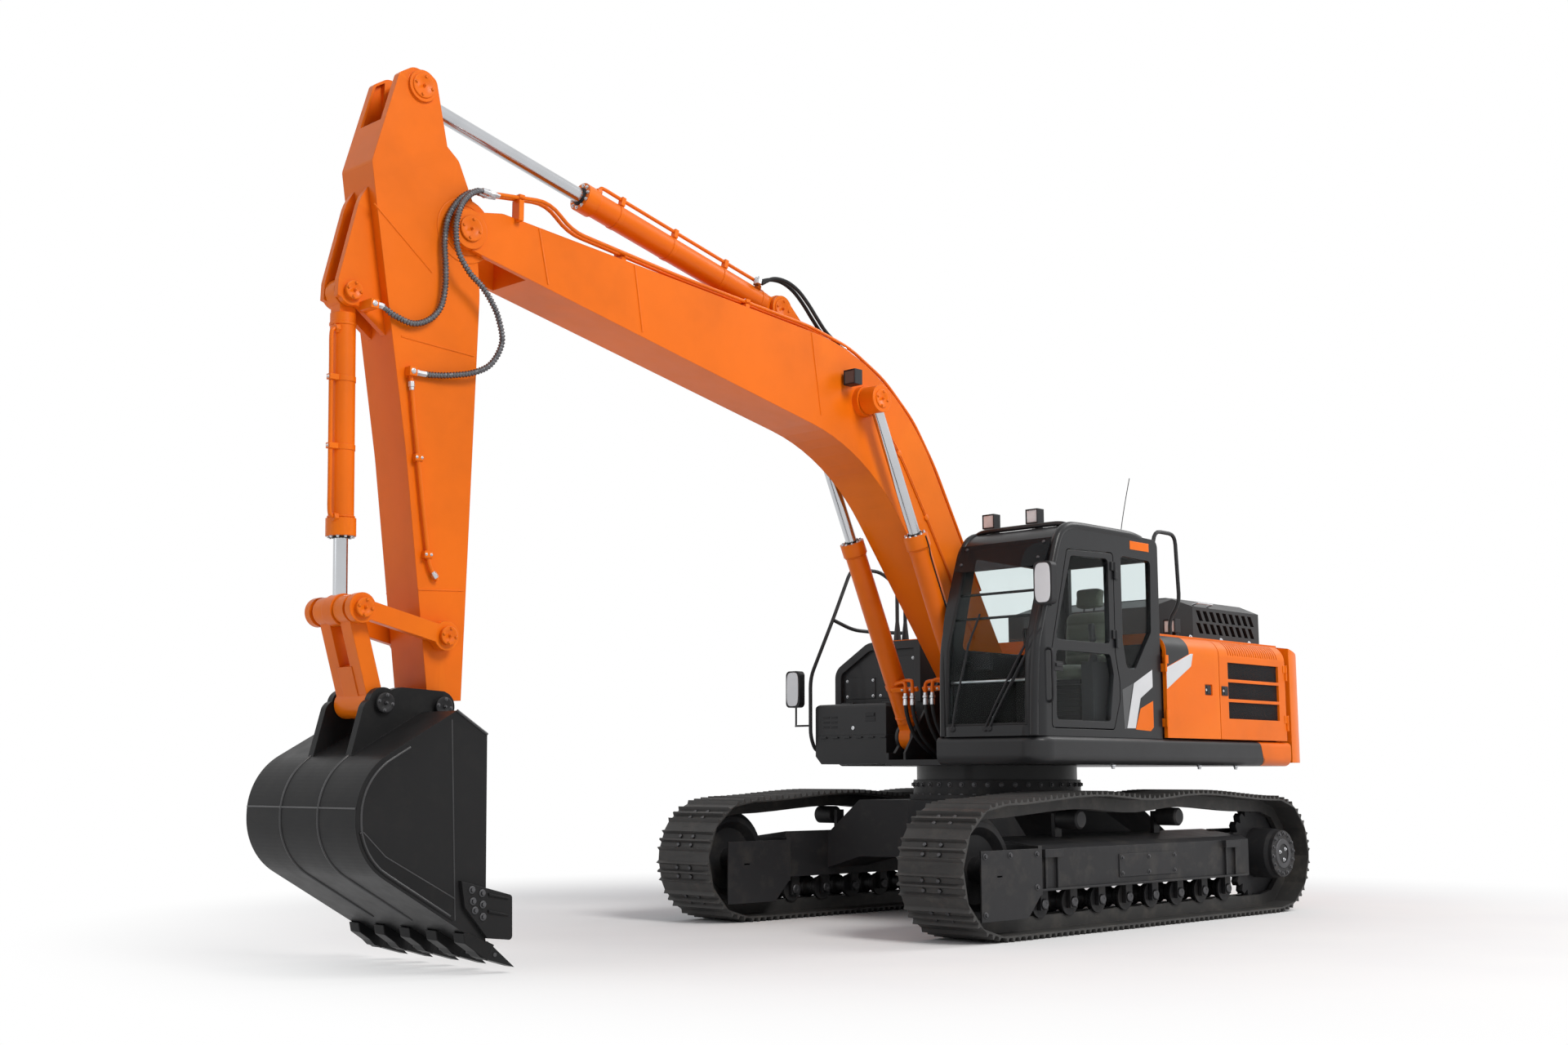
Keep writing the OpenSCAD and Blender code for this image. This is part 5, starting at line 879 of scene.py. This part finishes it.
FIELDS = [
    ("cab_silver_field", "house", "silver", cab_side, [
        (0.068, 1.929), (-0.276, 2.081), (-0.335, 1.975), (-0.022, 1.81), (0.06, 1.565), (0.183, 1.563),
    ]),
    ("cab_orange_field", "house", "orange", cab_side, [
        (-0.018, 1.726), (-0.335, 1.84), (-0.335, 1.665), (-0.161, 1.546), (0.06, 1.555),
    ]),
    ("cab_grey_field", "house", "grey", cab_side, [
        (0.24, 1.87), (0.088, 1.925), (0.19, 1.56), (0.224, 1.556),
    ]),
    ("cab_top_plate", "house", "orange", cab_side, [(-0.3, 3.03), (0.074, 3.03), (0.074, 3.1), (-0.3, 3.1)]),
    ("door_silver_field", "left_front_door", "silver", door_side, [
        (-0.3785, 2.075), (-0.766, 2.209), (-0.8, 2.209), (-0.765, 2.102), (-0.3785, 1.897),
    ]),
    ("door_grey_field", "left_front_door", "dark", door_side, [
        (-0.3785, 2.08), (-0.735, 2.204), (-0.7352, 2.385), (-0.3785, 2.385),
    ]),
    ("skirt_orange_field", "house", "orange", skirt_side, [
        (-2.4295, -0.1), (-1.96, -0.1), (-1.88, 0.15), (-2.4295, 0.15),
    ]),
]


def make_fields():
    for name, body, material, surface, outline in FIELDS:
        low_x = min(p[0] for p in outline) + 0.0005
        high_x = max(p[0] for p in outline) - 0.0005
        count = max(6, int((high_x - low_x) / 0.008))
        outer, inner = [], []
        for k in range(count + 1):
            x = low_x + (high_x - low_x) * k / count
            low, high = heights_at(outline, x)
            high = max(high, low + 0.0006)
            spots = [surface(x, low + (high - low) * j / 12) for j in range(13)]
            outer.append([p + n * 0.0013 for p, n in spots])
            inner.append([p - n * 0.0006 for p, n in spots])
        Piece(name, body, material).slab(outer, inner)


# Covers: grille mesh, latches with locks, hood bolts and handle, deck pads
LATCHES = [
    ("left_front_door", -1.04, 1, 1.4815),
    ("left_rear_door", -1.3, 1, 1.4955),
    ("right_door", -1.3, -1, 1.4955),
]


def make_covers():
    mesh = Piece("grille_mesh", "left_rear_door", "plastic")
    left, right, tall = -2.255, -1.36, 0.147
    for row in range(3):
        low = 1.674 + 0.172 * row
        for k in range(-8, 50):
            for way in SIDES:
                y = 1.4712 + 0.0014 * way
                a = left + 0.0184 * k + (0 if way > 0 else tall)
                cuts = sorted(((left - a) / (way * tall), (right - a) / (way * tall)))
                ends = (max(0, cuts[0]), min(1, cuts[1]))
                if ends[1] - ends[0] > 0.04:
                    spots = [(a + way * tall * t, y, low + tall * t) for t in ends]
                    mesh.rod(*spots, 0.0032, 4)
    for body, x, side, y in LATCHES:
        latch = Piece(body + "_latch", body, "plastic", 0.003)
        latch.box((x - 0.05, side * (y - 0.001), 1.872), (x + 0.05, side * (y + 0.007), 1.953))
        latch.box((x - 0.042, side * (y + 0.006), 1.882), (x + 0.02, side * (y + 0.012), 1.943))
        lock = Piece(body + "_lock", body, "zinc")
        profile = [(0, 0.011), (0.006, 0.011), (0.007, 0.008), (0.004, 0.004)]
        lock.lathe((x + 0.034, side * (y + 0.006), 1.912), (0, side, 0), profile, 18)
    bolts = Piece("hood_bolts", "engine_hood", "zinc")
    for x in (-2.36, -1.86, -1.34):
        bolts.bolt((x, 1.1495, 2.402), (0, 1, 0), 0.014, 0.016)
        bolts.bolt((x, -0.6995, 2.402), (0, -1, 0), 0.014, 0.016)
    pad = Piece("deck_pad", "house", "rubber", 0.003)
    angles = [k * math.pi / 20 for k in range(40)]
    oval = [(-0.76 + 0.115 * math.cos(a), 1.22 + 0.05 * math.sin(a)) for a in angles]
    pad.prism(oval, "z", 2.3695, 2.382)
    grips = Piece("deck_grips", "house", "rubber", 0.001)
    for k in range(7):
        x = -1.06 + 0.09 * k
        grips.box((x, 0.62, 2.3697), (x + 0.035, 1.02, 2.374))
    handle = Piece("hood_handle", "engine_hood", "zinc")
    handle.pipe([
        (-1.7, 1.11, 2.7), (-1.7, 1.165, 2.712), (-1.66, 1.175, 2.712), (-1.5, 1.175, 2.712),
        (-1.46, 1.165, 2.712), (-1.46, 1.11, 2.7),
    ], 6, 0.008, 10)


# Tail: counterweight plugs, rear camera, skirt drains
def make_tail():
    plugs = Piece("counterweight_plugs", "house", "rubber")
    for y in (-0.95, -0.28, 0.95, 0.28):
        profile = [(0, 0.046), (0.006, 0.046), (0.01, 0.04), (0.01, 0.018), (0.007, 0.015)]
        plugs.lathe((-2.56, y, 2.3635), UP, profile, 28)
    camera_box = Piece("rear_camera", "house", "plastic", 0.004)
    camera_box.box((-2.77, -0.045, 2.363), (-2.69, 0.045, 2.418))
    camera_box.prism([(-2.775, 2.42), (-2.69, 2.424), (-2.69, 2.416), (-2.8, 2.41)], "y", -0.05, 0.05)
    eye = Piece("rear_camera_lens", "house", "mirror")
    profile = [(0, 0.016), (0.006, 0.016), (0.008, 0.012), (0.006, 0.008)]
    eye.lathe((-2.769, 0, 2.392), (-1, 0, -0.2), profile, 20)
    drains = Piece("skirt_drains", "house", "zinc")
    for x in (-1.55, -0.95, 0.35):
        profile = [(0, 0.022), (0.012, 0.022), (0.014, 0.015), (0.03, 0.015), (0.032, 0.01)]
        drains.lathe((x, 1.432, 1.2705), (0, 0, -1), profile, 12)


# Tank: front plates with bolts, step plate with studs, filler
def make_tank():
    plates = Piece("tank_plates", "house", "dark", 0.002)
    bolts = Piece("tank_bolts", "house", "zinc")
    for (y0, z0), (y1, z1) in (((-0.98, 1.87), (-0.55, 2.24)), ((-1.38, 1.87), (-1.02, 2.06))):
        plates.box((0.419, y0, z0), (0.4265, y1, z1))
        for y in (y0 + 0.025, y1 - 0.025):
            for z in (z0 + 0.025, z1 - 0.025):
                bolts.bolt((0.426, y, z), AHEAD, 0.009, 0.011)
    plates.box((0.06, -0.8, 2.369), (0.38, -0.5, 2.3745))
    for i in range(8):
        for j in range(7):
            bolts.lathe((0.085 + 0.039 * i, -0.775 + 0.042 * j, 2.374), UP, [(0, 0.007), (0.004, 0.0055)], 8)
    edge = Piece("tank_top_edge", "house", "orange", 0.002)
    edge.box((0.385, -1.03, 2.3695), (0.4555, -0.4695, 2.377))
    edge.lathe((-0.07, -0.608, 2.366), UP, [
        (0, 0.078), (0.012, 0.078), (0.014, 0.0715), (0.07, 0.0715), (0.092, 0.066), (0.096, 0.055),
    ], 36)
    cap = Piece("tank_cap", "house", "dark", 0.001)
    cap.lathe((-0.07, -0.608, 2.461), UP, [(0, 0.052), (0.022, 0.05), (0.026, 0.044)], 10)


# Toolbox lid: vents, handle and lock
def make_toolbox():
    vents = Piece("toolbox_vents", "toolbox_lid", "plastic", 0.001)
    for y in (-1.36, -1.265):
        for z in (1.6, 1.642, 1.684):
            vents.box((0.7442, y, z), (0.7462, y + 0.075, z + 0.018))
            vents.box((0.7455, y, z + 0.014), (0.75, y + 0.075, z + 0.019))
    handle = Piece("toolbox_handle", "toolbox_lid", "plastic", 0.003)
    handle.box((0.7442, -0.86, 1.655), (0.7475, -0.74, 1.735))
    handle.box((0.747, -0.85, 1.7), (0.754, -0.75, 1.726))
    lock = Piece("toolbox_lock", "toolbox_lid", "zinc")
    profile = [(0, 0.018), (0.006, 0.018), (0.008, 0.014), (0.008, 0.006), (0.005, 0.005)]
    lock.lathe((0.7447, -1, 1.6), AHEAD, profile, 20)


# Running gear: shoe bolts, drive bolts and plugs, roller caps, beam plates, slew ring bolts
TRACK_Y, AXLE_X, AXLE_Z, PIN_R, SHOES = 1.295, 2.025, 0.505, 0.4062, 48
HALF_TURN = math.pi * PIN_R
CHAIN_LENGTH = 4 * AXLE_X + 2 * HALF_TURN


def chain_wave(share):
    return (1 - math.cos(math.pi * share)) / 2


def chain_point(run):
    """The chain's pins, as in the solids: the ground, the sprocket, the carriers, then the idler."""
    run %= CHAIN_LENGTH
    if run < 2 * AXLE_X:
        return Vector((AXLE_X - run, 0, AXLE_Z - PIN_R))
    if run < 2 * AXLE_X + HALF_TURN:
        a = -math.pi / 2 - (run - 2 * AXLE_X) / PIN_R
        return Vector((-AXLE_X + PIN_R * math.cos(a), 0, AXLE_Z + PIN_R * math.sin(a)))
    if run < 4 * AXLE_X + HALF_TURN:
        x = run - 3 * AXLE_X - HALF_TURN
        if x > 0.76:
            rise = 0.06 * chain_wave((AXLE_X - x) / (AXLE_X - 0.76))
        elif x < -0.66:
            rise = 0.06 * chain_wave((AXLE_X + x) / (AXLE_X - 0.66))
        else:
            rise = 0.06 - 0.038 * chain_wave(2 * (x + 0.66) / 1.42)
        return Vector((x, 0, AXLE_Z + PIN_R + rise))
    a = math.pi / 2 - (run - 4 * AXLE_X - HALF_TURN) / PIN_R
    return Vector((AXLE_X + PIN_R * math.cos(a), 0, AXLE_Z + PIN_R * math.sin(a)))


def make_undercarriage():
    bolts = Piece("shoe_bolts", "undercarriage", "iron")
    for i in range(SHOES):
        a, b = (chain_point(k * CHAIN_LENGTH / SHOES) for k in (i, i + 1))
        way = (b - a).normalized()
        out = Vector((-way.z, 0, way.x))
        for share in (0.335, 0.665):
            for y in (-0.075, 0.075):
                for side in SIDES:
                    spot = a + (b - a) * share + out * 0.0685 + Vector((0, side * TRACK_Y + y, 0))
                    bolts.lathe(spot, out, [(0, 0.0175), (0.013, 0.0175), (0.016, 0.014)], 6)
    drive = Piece("drive_bolts", "undercarriage", "iron")
    plates = Piece("track_frame_plates", "undercarriage", "black", 0.003)
    plugs = Piece("drive_plugs", "undercarriage", "zinc")
    roller_cap = [(0, 0.04), (0.01, 0.04), (0.016, 0.033), (0.016, 0.014), (0.013, 0.012)]
    for side in SIDES:
        out = (0, side, 0)
        centre = (-AXLE_X, side * (TRACK_Y + 0.2995), AXLE_Z)
        drive.bolt_circle(centre, out, 0.175, 14, 0.013, 0.016)
        drive.ring(centre, out, [(0, 0.085), (0.008, 0.085), (0.008, 0.125), (0, 0.13)], 48)
        plugs.bolt_circle(centre, out, 0.055, 3, 0.011, 0.014, 0.5)
        for k in range(8):
            for way in SIDES:
                spot = ((k - 3.5) * 0.38, side * TRACK_Y + way * 0.1495, 0.2293)
                drive.lathe(spot, (0, way, 0), roller_cap, 24)
        for x, z in ((1.575, 0.61), (1.575, 0.37), (2.195, 0.61), (2.195, 0.2), (1.9, 0.61)):
            drive.bolt((x, side * (TRACK_Y + 0.2645), z), out, 0.015, 0.018)
        low, high = side * (TRACK_Y + 0.2245), side * (TRACK_Y + 0.233)
        plates.box((-0.4, low, 0.395), (0.44, high, 0.575))
        low, high = side * (TRACK_Y + 0.224), side * (TRACK_Y + 0.255)
        plates.box((-1.5, low, 0.335), (1.5, high, 0.352))
        for x in (-0.36, 0.02, 0.4):
            for z in (0.425, 0.545):
                drive.bolt((x, side * (TRACK_Y + 0.2325), z), out, 0.012, 0.014)
    for k in range(40):
        a = 2 * math.pi * (k + 0.5) / 40
        way = Vector((math.cos(a), math.sin(a), 0))
        for z in (1.015, 1.11):
            drive.bolt(way * 0.7195 + Vector((0, 0, z)), way, 0.014, 0.018)


# Cab: visor, pillar tubes, seals, wipers, guard bars, lamp lenses, mirrors, handles, screen, levers
def cab_front_x(z):
    """The cab's outer front line."""
    if z < 2.1908:
        return 1.42 - 0.0264 * (z - 1.4853) / 0.7055
    return 1.3936 - 0.3486 * (z - 2.1908)


# Visor bolts: height, stud behind and before the front line, seat of the head, radii of stud and head
VISOR_BOLTS = [
    (3, 0.01, 0.016, 0.014, 0.01, 0.011),
    (2.87, 0.012, 0.05, 0.05, 0.008, 0.01),
]


def make_visor():
    outer = []
    for i in range(25):
        side = abs(2 * i / 24 - 1)
        low = 2.8 + 0.03 * side ** 6
        row = []
        for j in range(11):
            t = j / 10
            z = low + (3.035 - low) * t
            bulge = 0.012 + 0.072 * (1 - t) ** 1.3 * (1 - 0.45 * side ** 5)
            row.append(Vector((cab_front_x(z) + bulge, 0.535 + 0.89 * i / 24, z)))
        outer.append(row)
    inner = [[p - Vector((0.0055, 0, 0.0022)) for p in row] for row in outer]
    Piece("cab_visor", "house", "visor").slab(outer, inner)
    bolts = Piece("visor_bolts", "house", "iron")
    for y in (0.6, 1.36):
        for z, back, front, seat, rod_r, r in VISOR_BOLTS:
            x = cab_front_x(z)
            bolts.rod((x - back, y, z), (x + front, y, z), rod_r)
            bolts.bolt((x + seat, y, z), (1, 0, 0.2), r, 0.012)


def make_cab_frame():
    pillar = Piece("cab_pillar_tubes", "house", "cab")
    pillar.pipe([
        (1.385, 1.418, 1.49), (1.38, 1.42, 1.7), (1.372, 1.424, 1.95), (1.352, 1.428, 2.18),
        (1.312, 1.432, 2.33), (1.24, 1.436, 2.54), (1.16, 1.438, 2.77), (1.092, 1.44, 2.96),
        (1.03, 1.44, 3.07), (0.93, 1.44, 3.13), (0.78, 1.44, 3.148), (0.4, 1.44, 3.15),
        (0.05, 1.44, 3.148), (-0.12, 1.43, 3.13),
    ], 8, 0.036, 16)
    pillar.pipe([
        (1.385, 0.541, 1.49), (1.372, 0.535, 1.95), (1.352, 0.531, 2.18), (1.312, 0.527, 2.33),
        (1.24, 0.523, 2.54), (1.16, 0.521, 2.77), (1.092, 0.519, 2.96), (1.03, 0.519, 3.07),
        (0.93, 0.519, 3.13), (0.78, 0.519, 3.148),
    ], 8, 0.03, 14)
    pillar.pipe([
        (0.9, 0.53, 3.15), (0.905, 0.6, 3.168), (0.91, 0.75, 3.172), (0.91, 1.22, 3.172),
        (0.905, 1.36, 3.168), (0.9, 1.43, 3.15),
    ], 8, 0.02)
    seal = Piece("front_glass_seal", "house", "rubber")
    heights = [1.569 + 1.428 * k / 24 for k in range(25)]
    for y, run in ((0.594, heights), (1.365, heights[::-1])):
        seal.tube([(cab_front_x(z) - 0.014, y, z) for z in run], 0.014, 8)
    x = cab_front_x(1.574) - 0.014
    seal.seam(Vector((x, 0.59, 1.574)), Vector((x, 1.37, 1.574)), 12, 0.014)


# A bar across the cab, bent back at its ends; bend gives (distance back, Y) from right to left
def cross_bar(piece, x, z, bend, r):
    piece.pipe([(x - back, y, z) for back, y in bend], 6, r)


def corner_power(value):
    """The root of a value, with its sign, for ovals with full corners."""
    return math.copysign(abs(value) ** 0.5, value)


def make_cab():
    bars = Piece("cab_guard_bars", "house", "dark")
    for z in (2.62, 2.42):
        bend = [(0.02, 0.548), (0, 0.6), (0, 0.8), (0, 1.16), (0, 1.36), (0.02, 1.411)]
        cross_bar(bars, cab_front_x(z) - 0.06, z, bend, 0.011)
    foot_bar = Piece("cab_foot_bar", "house", "zinc")
    bend = [(0.025, 0.546), (0.005, 0.58), (0, 0.7), (0, 1.26), (0.005, 1.38), (0.025, 1.413)]
    cross_bar(foot_bar, 1.34, 1.915, bend, 0.012)
    wipers = Piece("wipers", "house", "plastic")
    foot_z = 1.545
    for y0, y1, z1 in ((0.98, 1.325, 2.14), (1.02, 1.355, 2.1), (0.66, 0.8, 2.22)):
        foot = Vector((1.424, y0, foot_z))
        top = Vector((cab_front_x(z1) - 0.004, y1, z1))
        middle = (1.422, y0 + 0.35 * (y1 - y0), foot_z + 0.35 * (z1 - foot_z))
        wipers.lathe((1.41, y0, foot_z), AHEAD, [(0, 0.024), (0.014, 0.024), (0.02, 0.016)], 20)
        wipers.pipe([foot, middle, top], 8, 0.0085, 8)
        way = (top - foot).normalized()
        blade = [top + way * s for s in (-0.26, -0.14, 0, 0.14, 0.24)]
        wipers.pipe([(cab_front_x(p.z) - 0.01, p.y, p.z) for p in blade], 6, 0.0095, 6)
    lenses = Piece("cab_lamp_lenses", "house", "lens", 0.003)
    rims = Piece("cab_lamp_rims", "house", "plastic", 0.002)
    for x, y, z in ((0.84, 1.045, 3.206), (0.84, 0.604, 3.206), (-0.94, 1.19, 2.411)):
        lamp_face(lenses, rims, (x - 0.001, x + 0.005), (x - 0.001, x + 0.009), y, z)
    faces = Piece("mirror_faces", "house", "mirror", 0.002)
    backs = Piece("mirror_back", "house", "silver", 0.002)
    angles = [2 * math.pi * (k + 0.5) / 40 for k in range(40)]
    for x, y, z in ((0.785, -1.67, 1.96), (1.36, 1.535, 2.645)):
        shape = [
            (y + 0.072 * corner_power(math.cos(a)), z + 0.152 * corner_power(math.sin(a))) for a in angles
        ]
        faces.prism(shape, "x", x - 0.0385, x - 0.0345)
        backs.prism(shape, "x", x + 0.0345, x + 0.04)
    mast = Piece("cab_aerial", "house", "rubber")
    mast.lathe((-0.2, 1.2, 3.16), UP, [(0, 0.022), (0.014, 0.02), (0.03, 0.01)], 18)
    mast.tube([(-0.2 - 0.16 * (k / 12) ** 1.2, 1.2, 3.185 + 0.52 * k / 12) for k in range(13)], 0.0035, 8)
    handle = Piece("cab_door_handle", "cab_door", "plastic", 0.003)
    handle.box((1.06, 1.4645, 1.985), (1.175, 1.4715, 2.06))
    handle.box((1.072, 1.471, 2.02), (1.16, 1.482, 2.046))
    rail = Piece("cab_grab_rail", "house", "plastic")
    rail.pipe([
        (1.245, 1.45, 1.745), (1.245, 1.488, 1.752), (1.245, 1.504, 1.785), (1.245, 1.504, 1.95),
        (1.245, 1.504, 2.115), (1.245, 1.488, 2.148), (1.245, 1.45, 2.155),
    ], 8, 0.011)
    screen = Piece("cab_screen", "house", "plastic", 0.006)
    screen.box((1.09, 0.615, 2.02), (1.13, 0.815, 2.16))
    screen.rod((1.11, 0.541, 2.085), (1.11, 0.62, 2.085), 0.014)
    rests = Piece("cab_armrests", "house", "olive", 0.02)
    levers = Piece("cab_levers", "house", "plastic")
    boot = [(0, 0.045), (0.03, 0.04), (0.06, 0.03), (0.09, 0.019)]
    grip = [(0, 0.02), (0.02, 0.026), (0.06, 0.024), (0.1, 0.028), (0.13, 0.03), (0.15, 0.022)]
    x = 0.22 + 0.56 / 3
    for y in (0.6545, 1.3045):
        rests.box((0.02, y - 0.05, 2.091), (0.33, y + 0.05, 2.14))
        levers.lathe((x, y, 2.085), UP, boot, 20)
        levers.lathe((x, y, 2.255), (0.12, 0, 1), grip, 20)


# Seat: crowned cushions blown up by a cloth simulation, sewn channels pressed in after it
def cushion(name, centre, half, lean, crown, cap, channels):
    bm = bmesh.new()
    bmesh.ops.create_cube(bm, size=2)
    bmesh.ops.subdivide_edges(bm, edges=bm.edges[:], cuts=11, use_grid_fill=True)
    for vert in bm.verts:
        x, y, z = vert.co
        size = (abs(x) ** 7 + abs(y) ** 7 + abs(z) ** 7) ** (1 / 7)
        x, y, z = x / size, y / size, z / size
        pull = 1 - 0.035 * (1 - abs(x) ** 3) * abs(y) - 0.035 * (1 - abs(y) ** 3) * abs(x)
        top = crown * (1 - x * x) * (1 - y * y) * max(0, z)
        vert.co = (x * half[0] * pull, y * half[1] * pull, z * half[2] + top)
    mesh = bpy.data.meshes.new(name)
    bm.to_mesh(mesh)
    bm.free()
    thing = place_object(name, mesh)
    blow_up(thing, cap)
    for vert in thing.data.vertices:
        for at in channels:
            near = abs(vert.co.x - at) / 0.012
            if near < 2.5 and vert.co.z > 0:
                vert.co.z -= 0.009 * math.exp(-near * near)
    thing.data.transform(Matrix.Translation(centre) @ Matrix.Rotation(lean, 4, "Y"))
    thing.data.materials.append(MATERIALS["cloth"])
    thing.data.shade_smooth()
    smooth = thing.modifiers.new("smooth", "SUBSURF")
    smooth.levels = 1
    smooth.render_levels = 1
    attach(thing, "house")
    return thing


def blow_up(thing, cap):
    """Remesh, run the cloth under pressure, and keep each point within cap of its start."""
    remesh = thing.modifiers.new("remesh", "REMESH")
    remesh.mode = "VOXEL"
    remesh.voxel_size = 0.009
    keep_result(thing)
    start = [vert.co.copy() for vert in thing.data.vertices]
    soft = thing.modifiers.new("soft", "CLOTH")
    soft.settings.use_pressure = True
    soft.settings.uniform_pressure_force = 4
    soft.settings.effector_weights.gravity = 0
    for number in range(1, 21):
        scene.frame_set(number)
    keep_result(thing)
    scene.frame_set(1)
    for vert, before in zip(thing.data.vertices, start):
        move = vert.co - before
        if move.length > cap:
            vert.co = before + move * (cap / move.length)


def keep_result(thing):
    shown = thing.evaluated_get(bpy.context.evaluated_depsgraph_get())
    mesh = bpy.data.meshes.new_from_object(shown)
    thing.modifiers.clear()
    old = thing.data
    thing.data = mesh
    bpy.data.meshes.remove(old)


SEAT_Y = 0.9795
BACK_LEAN = math.radians(84)


def make_seat():
    y = SEAT_Y
    seat = cushion("seat_cushion", (0.225, y, 2.014), (0.235, 0.235, 0.05), 0, 0.016, 0.012, (-0.1, 0.08))
    half = (0.245, 0.23, 0.045)
    cushion("seat_backrest", (-0.01, y, 2.315), half, BACK_LEAN, 0.016, 0.012, (-0.12, 0.02, 0.14))
    cushion("seat_headrest", (-0.045, y, 2.662), (0.082, 0.125, 0.042), BACK_LEAN, 0.01, 0.008, ())
    base = Piece("seat_base", "house", "plastic", 0.006)
    for k in range(9):
        z = 1.6 + 0.036 * k
        grow = 0.012 * (k % 2)
        wide = 0.165 + grow
        base.box((0.055 - grow, y - wide, z - 0.0005), (0.385 + grow, y + wide, z + 0.0365))
    base.box((0.04, y - 0.18, 1.5336), (0.4, y + 0.18, 1.602))
    base.box((-0.01, y - 0.21, 1.92), (0.44, y + 0.21, 1.962))
    for side in SIDES:
        base.rod((-0.02, y + side * 0.05, 2.545), (-0.04, y + side * 0.05, 2.6), 0.007)
    base.prism([(-0.075, 1.955), (-0.02, 1.955), (-0.045, 2.545), (-0.085, 2.545)], "y", y - 0.2, y + 0.2)
    base.make()
    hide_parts("seat_unit")


# Floor and light
WHITE = (1, 1, 1)
FLOOR_HALF = 60


def seen_rays(tree):
    """One for camera, glossy and transmission rays, so metal and glass show the white background too."""
    path = add_node(tree, "LightPath", {})
    last = path.outputs["Is Camera Ray"]
    for name in ("Is Glossy Ray", "Is Transmission Ray"):
        last = combine(tree, "MAXIMUM", last, path.outputs[name])
    return last


def mix_shaders(tree, fac, first, second, output):
    both = add_node(tree, "MixShader", {"Fac": fac, 1: first, 2: second})
    feed(tree, tree.nodes[output], {"Surface": both.outputs["Shader"]})


def add_lamp(name, location, target, size, power, colour=WHITE):
    data = bpy.data.lights.new(name, "AREA")
    data.shape = "DISK"
    data.size = size
    data.energy = power
    data.color = colour
    aim(place_object(name, data), location, Vector(target) - Vector(location))


def make_stage():
    material, tree, shader = new_material("floor")
    tone = ramp(tree, noise(tree, 0.6, 2), (0.3, (0.91, 0.91, 0.92)), (0.7, (0.94, 0.94, 0.94)))
    feed(tree, shader, {"Base Color": tone, "Roughness": 0.85})
    far = add_node(tree, "VectorMath", {0: object_place(tree)}, operation="LENGTH").outputs["Value"]
    fade = map_range(tree, far, {"From Min": 3.6, "From Max": 8}, interpolation_type="SMOOTHSTEP")
    amount = combine(tree, "MULTIPLY", fade, seen_rays(tree))
    white = add_node(tree, "Emission", {"Color": WHITE, "Strength": 1})
    mix_shaders(tree, amount, shader.outputs["BSDF"], white.outputs["Emission"], "Material Output")
    mesh = bpy.data.meshes.new("floor")
    corners = [(-1, -1), (1, -1), (1, 1), (-1, 1)]
    mesh.from_pydata([(x * FLOOR_HALF, y * FLOOR_HALF, 0) for x, y in corners], [], [(0, 1, 2, 3)])
    floor = place_object("floor", mesh)
    floor.location = (0, 0, -0.002)
    mesh.materials.append(material)

    world = bpy.data.worlds.new("studio")
    scene.world = world
    world.use_nodes = True
    tree = world.node_tree
    back = tree.nodes["Background"]
    feed(tree, back, {"Color": (0.95, 0.96, 1), "Strength": 0.34})
    plain = add_node(tree, "Background", {"Color": WHITE, "Strength": 1})
    sources = (back.outputs["Background"], plain.outputs["Background"])
    mix_shaders(tree, seen_rays(tree), *sources, "World Output")

    add_lamp("key", (4, 16, 15), (1.5, 0, 2), 8, 2450, (1, 0.98, 0.95))
    add_lamp("fill", (16, -5, 8), (1.5, 0, 2), 10, 280, (0.95, 0.98, 1))
    add_lamp("rear", (-11, 6, 13), (0, 0, 2), 8, 800)


make_camera()
for build in (
    make_hoses, make_feed_hoses, make_crowd_hoses, make_cylinders, make_feed_pipes, make_pins, make_boom,
    make_arm, make_bucket, make_fields, make_covers, make_tail, make_tank, make_toolbox, make_undercarriage,
    make_visor, make_cab_frame, make_cab, make_seat,
):
    build()
    make_waiting()
dress_nodes()
make_stage()
scene.view_settings.view_transform = "Standard"
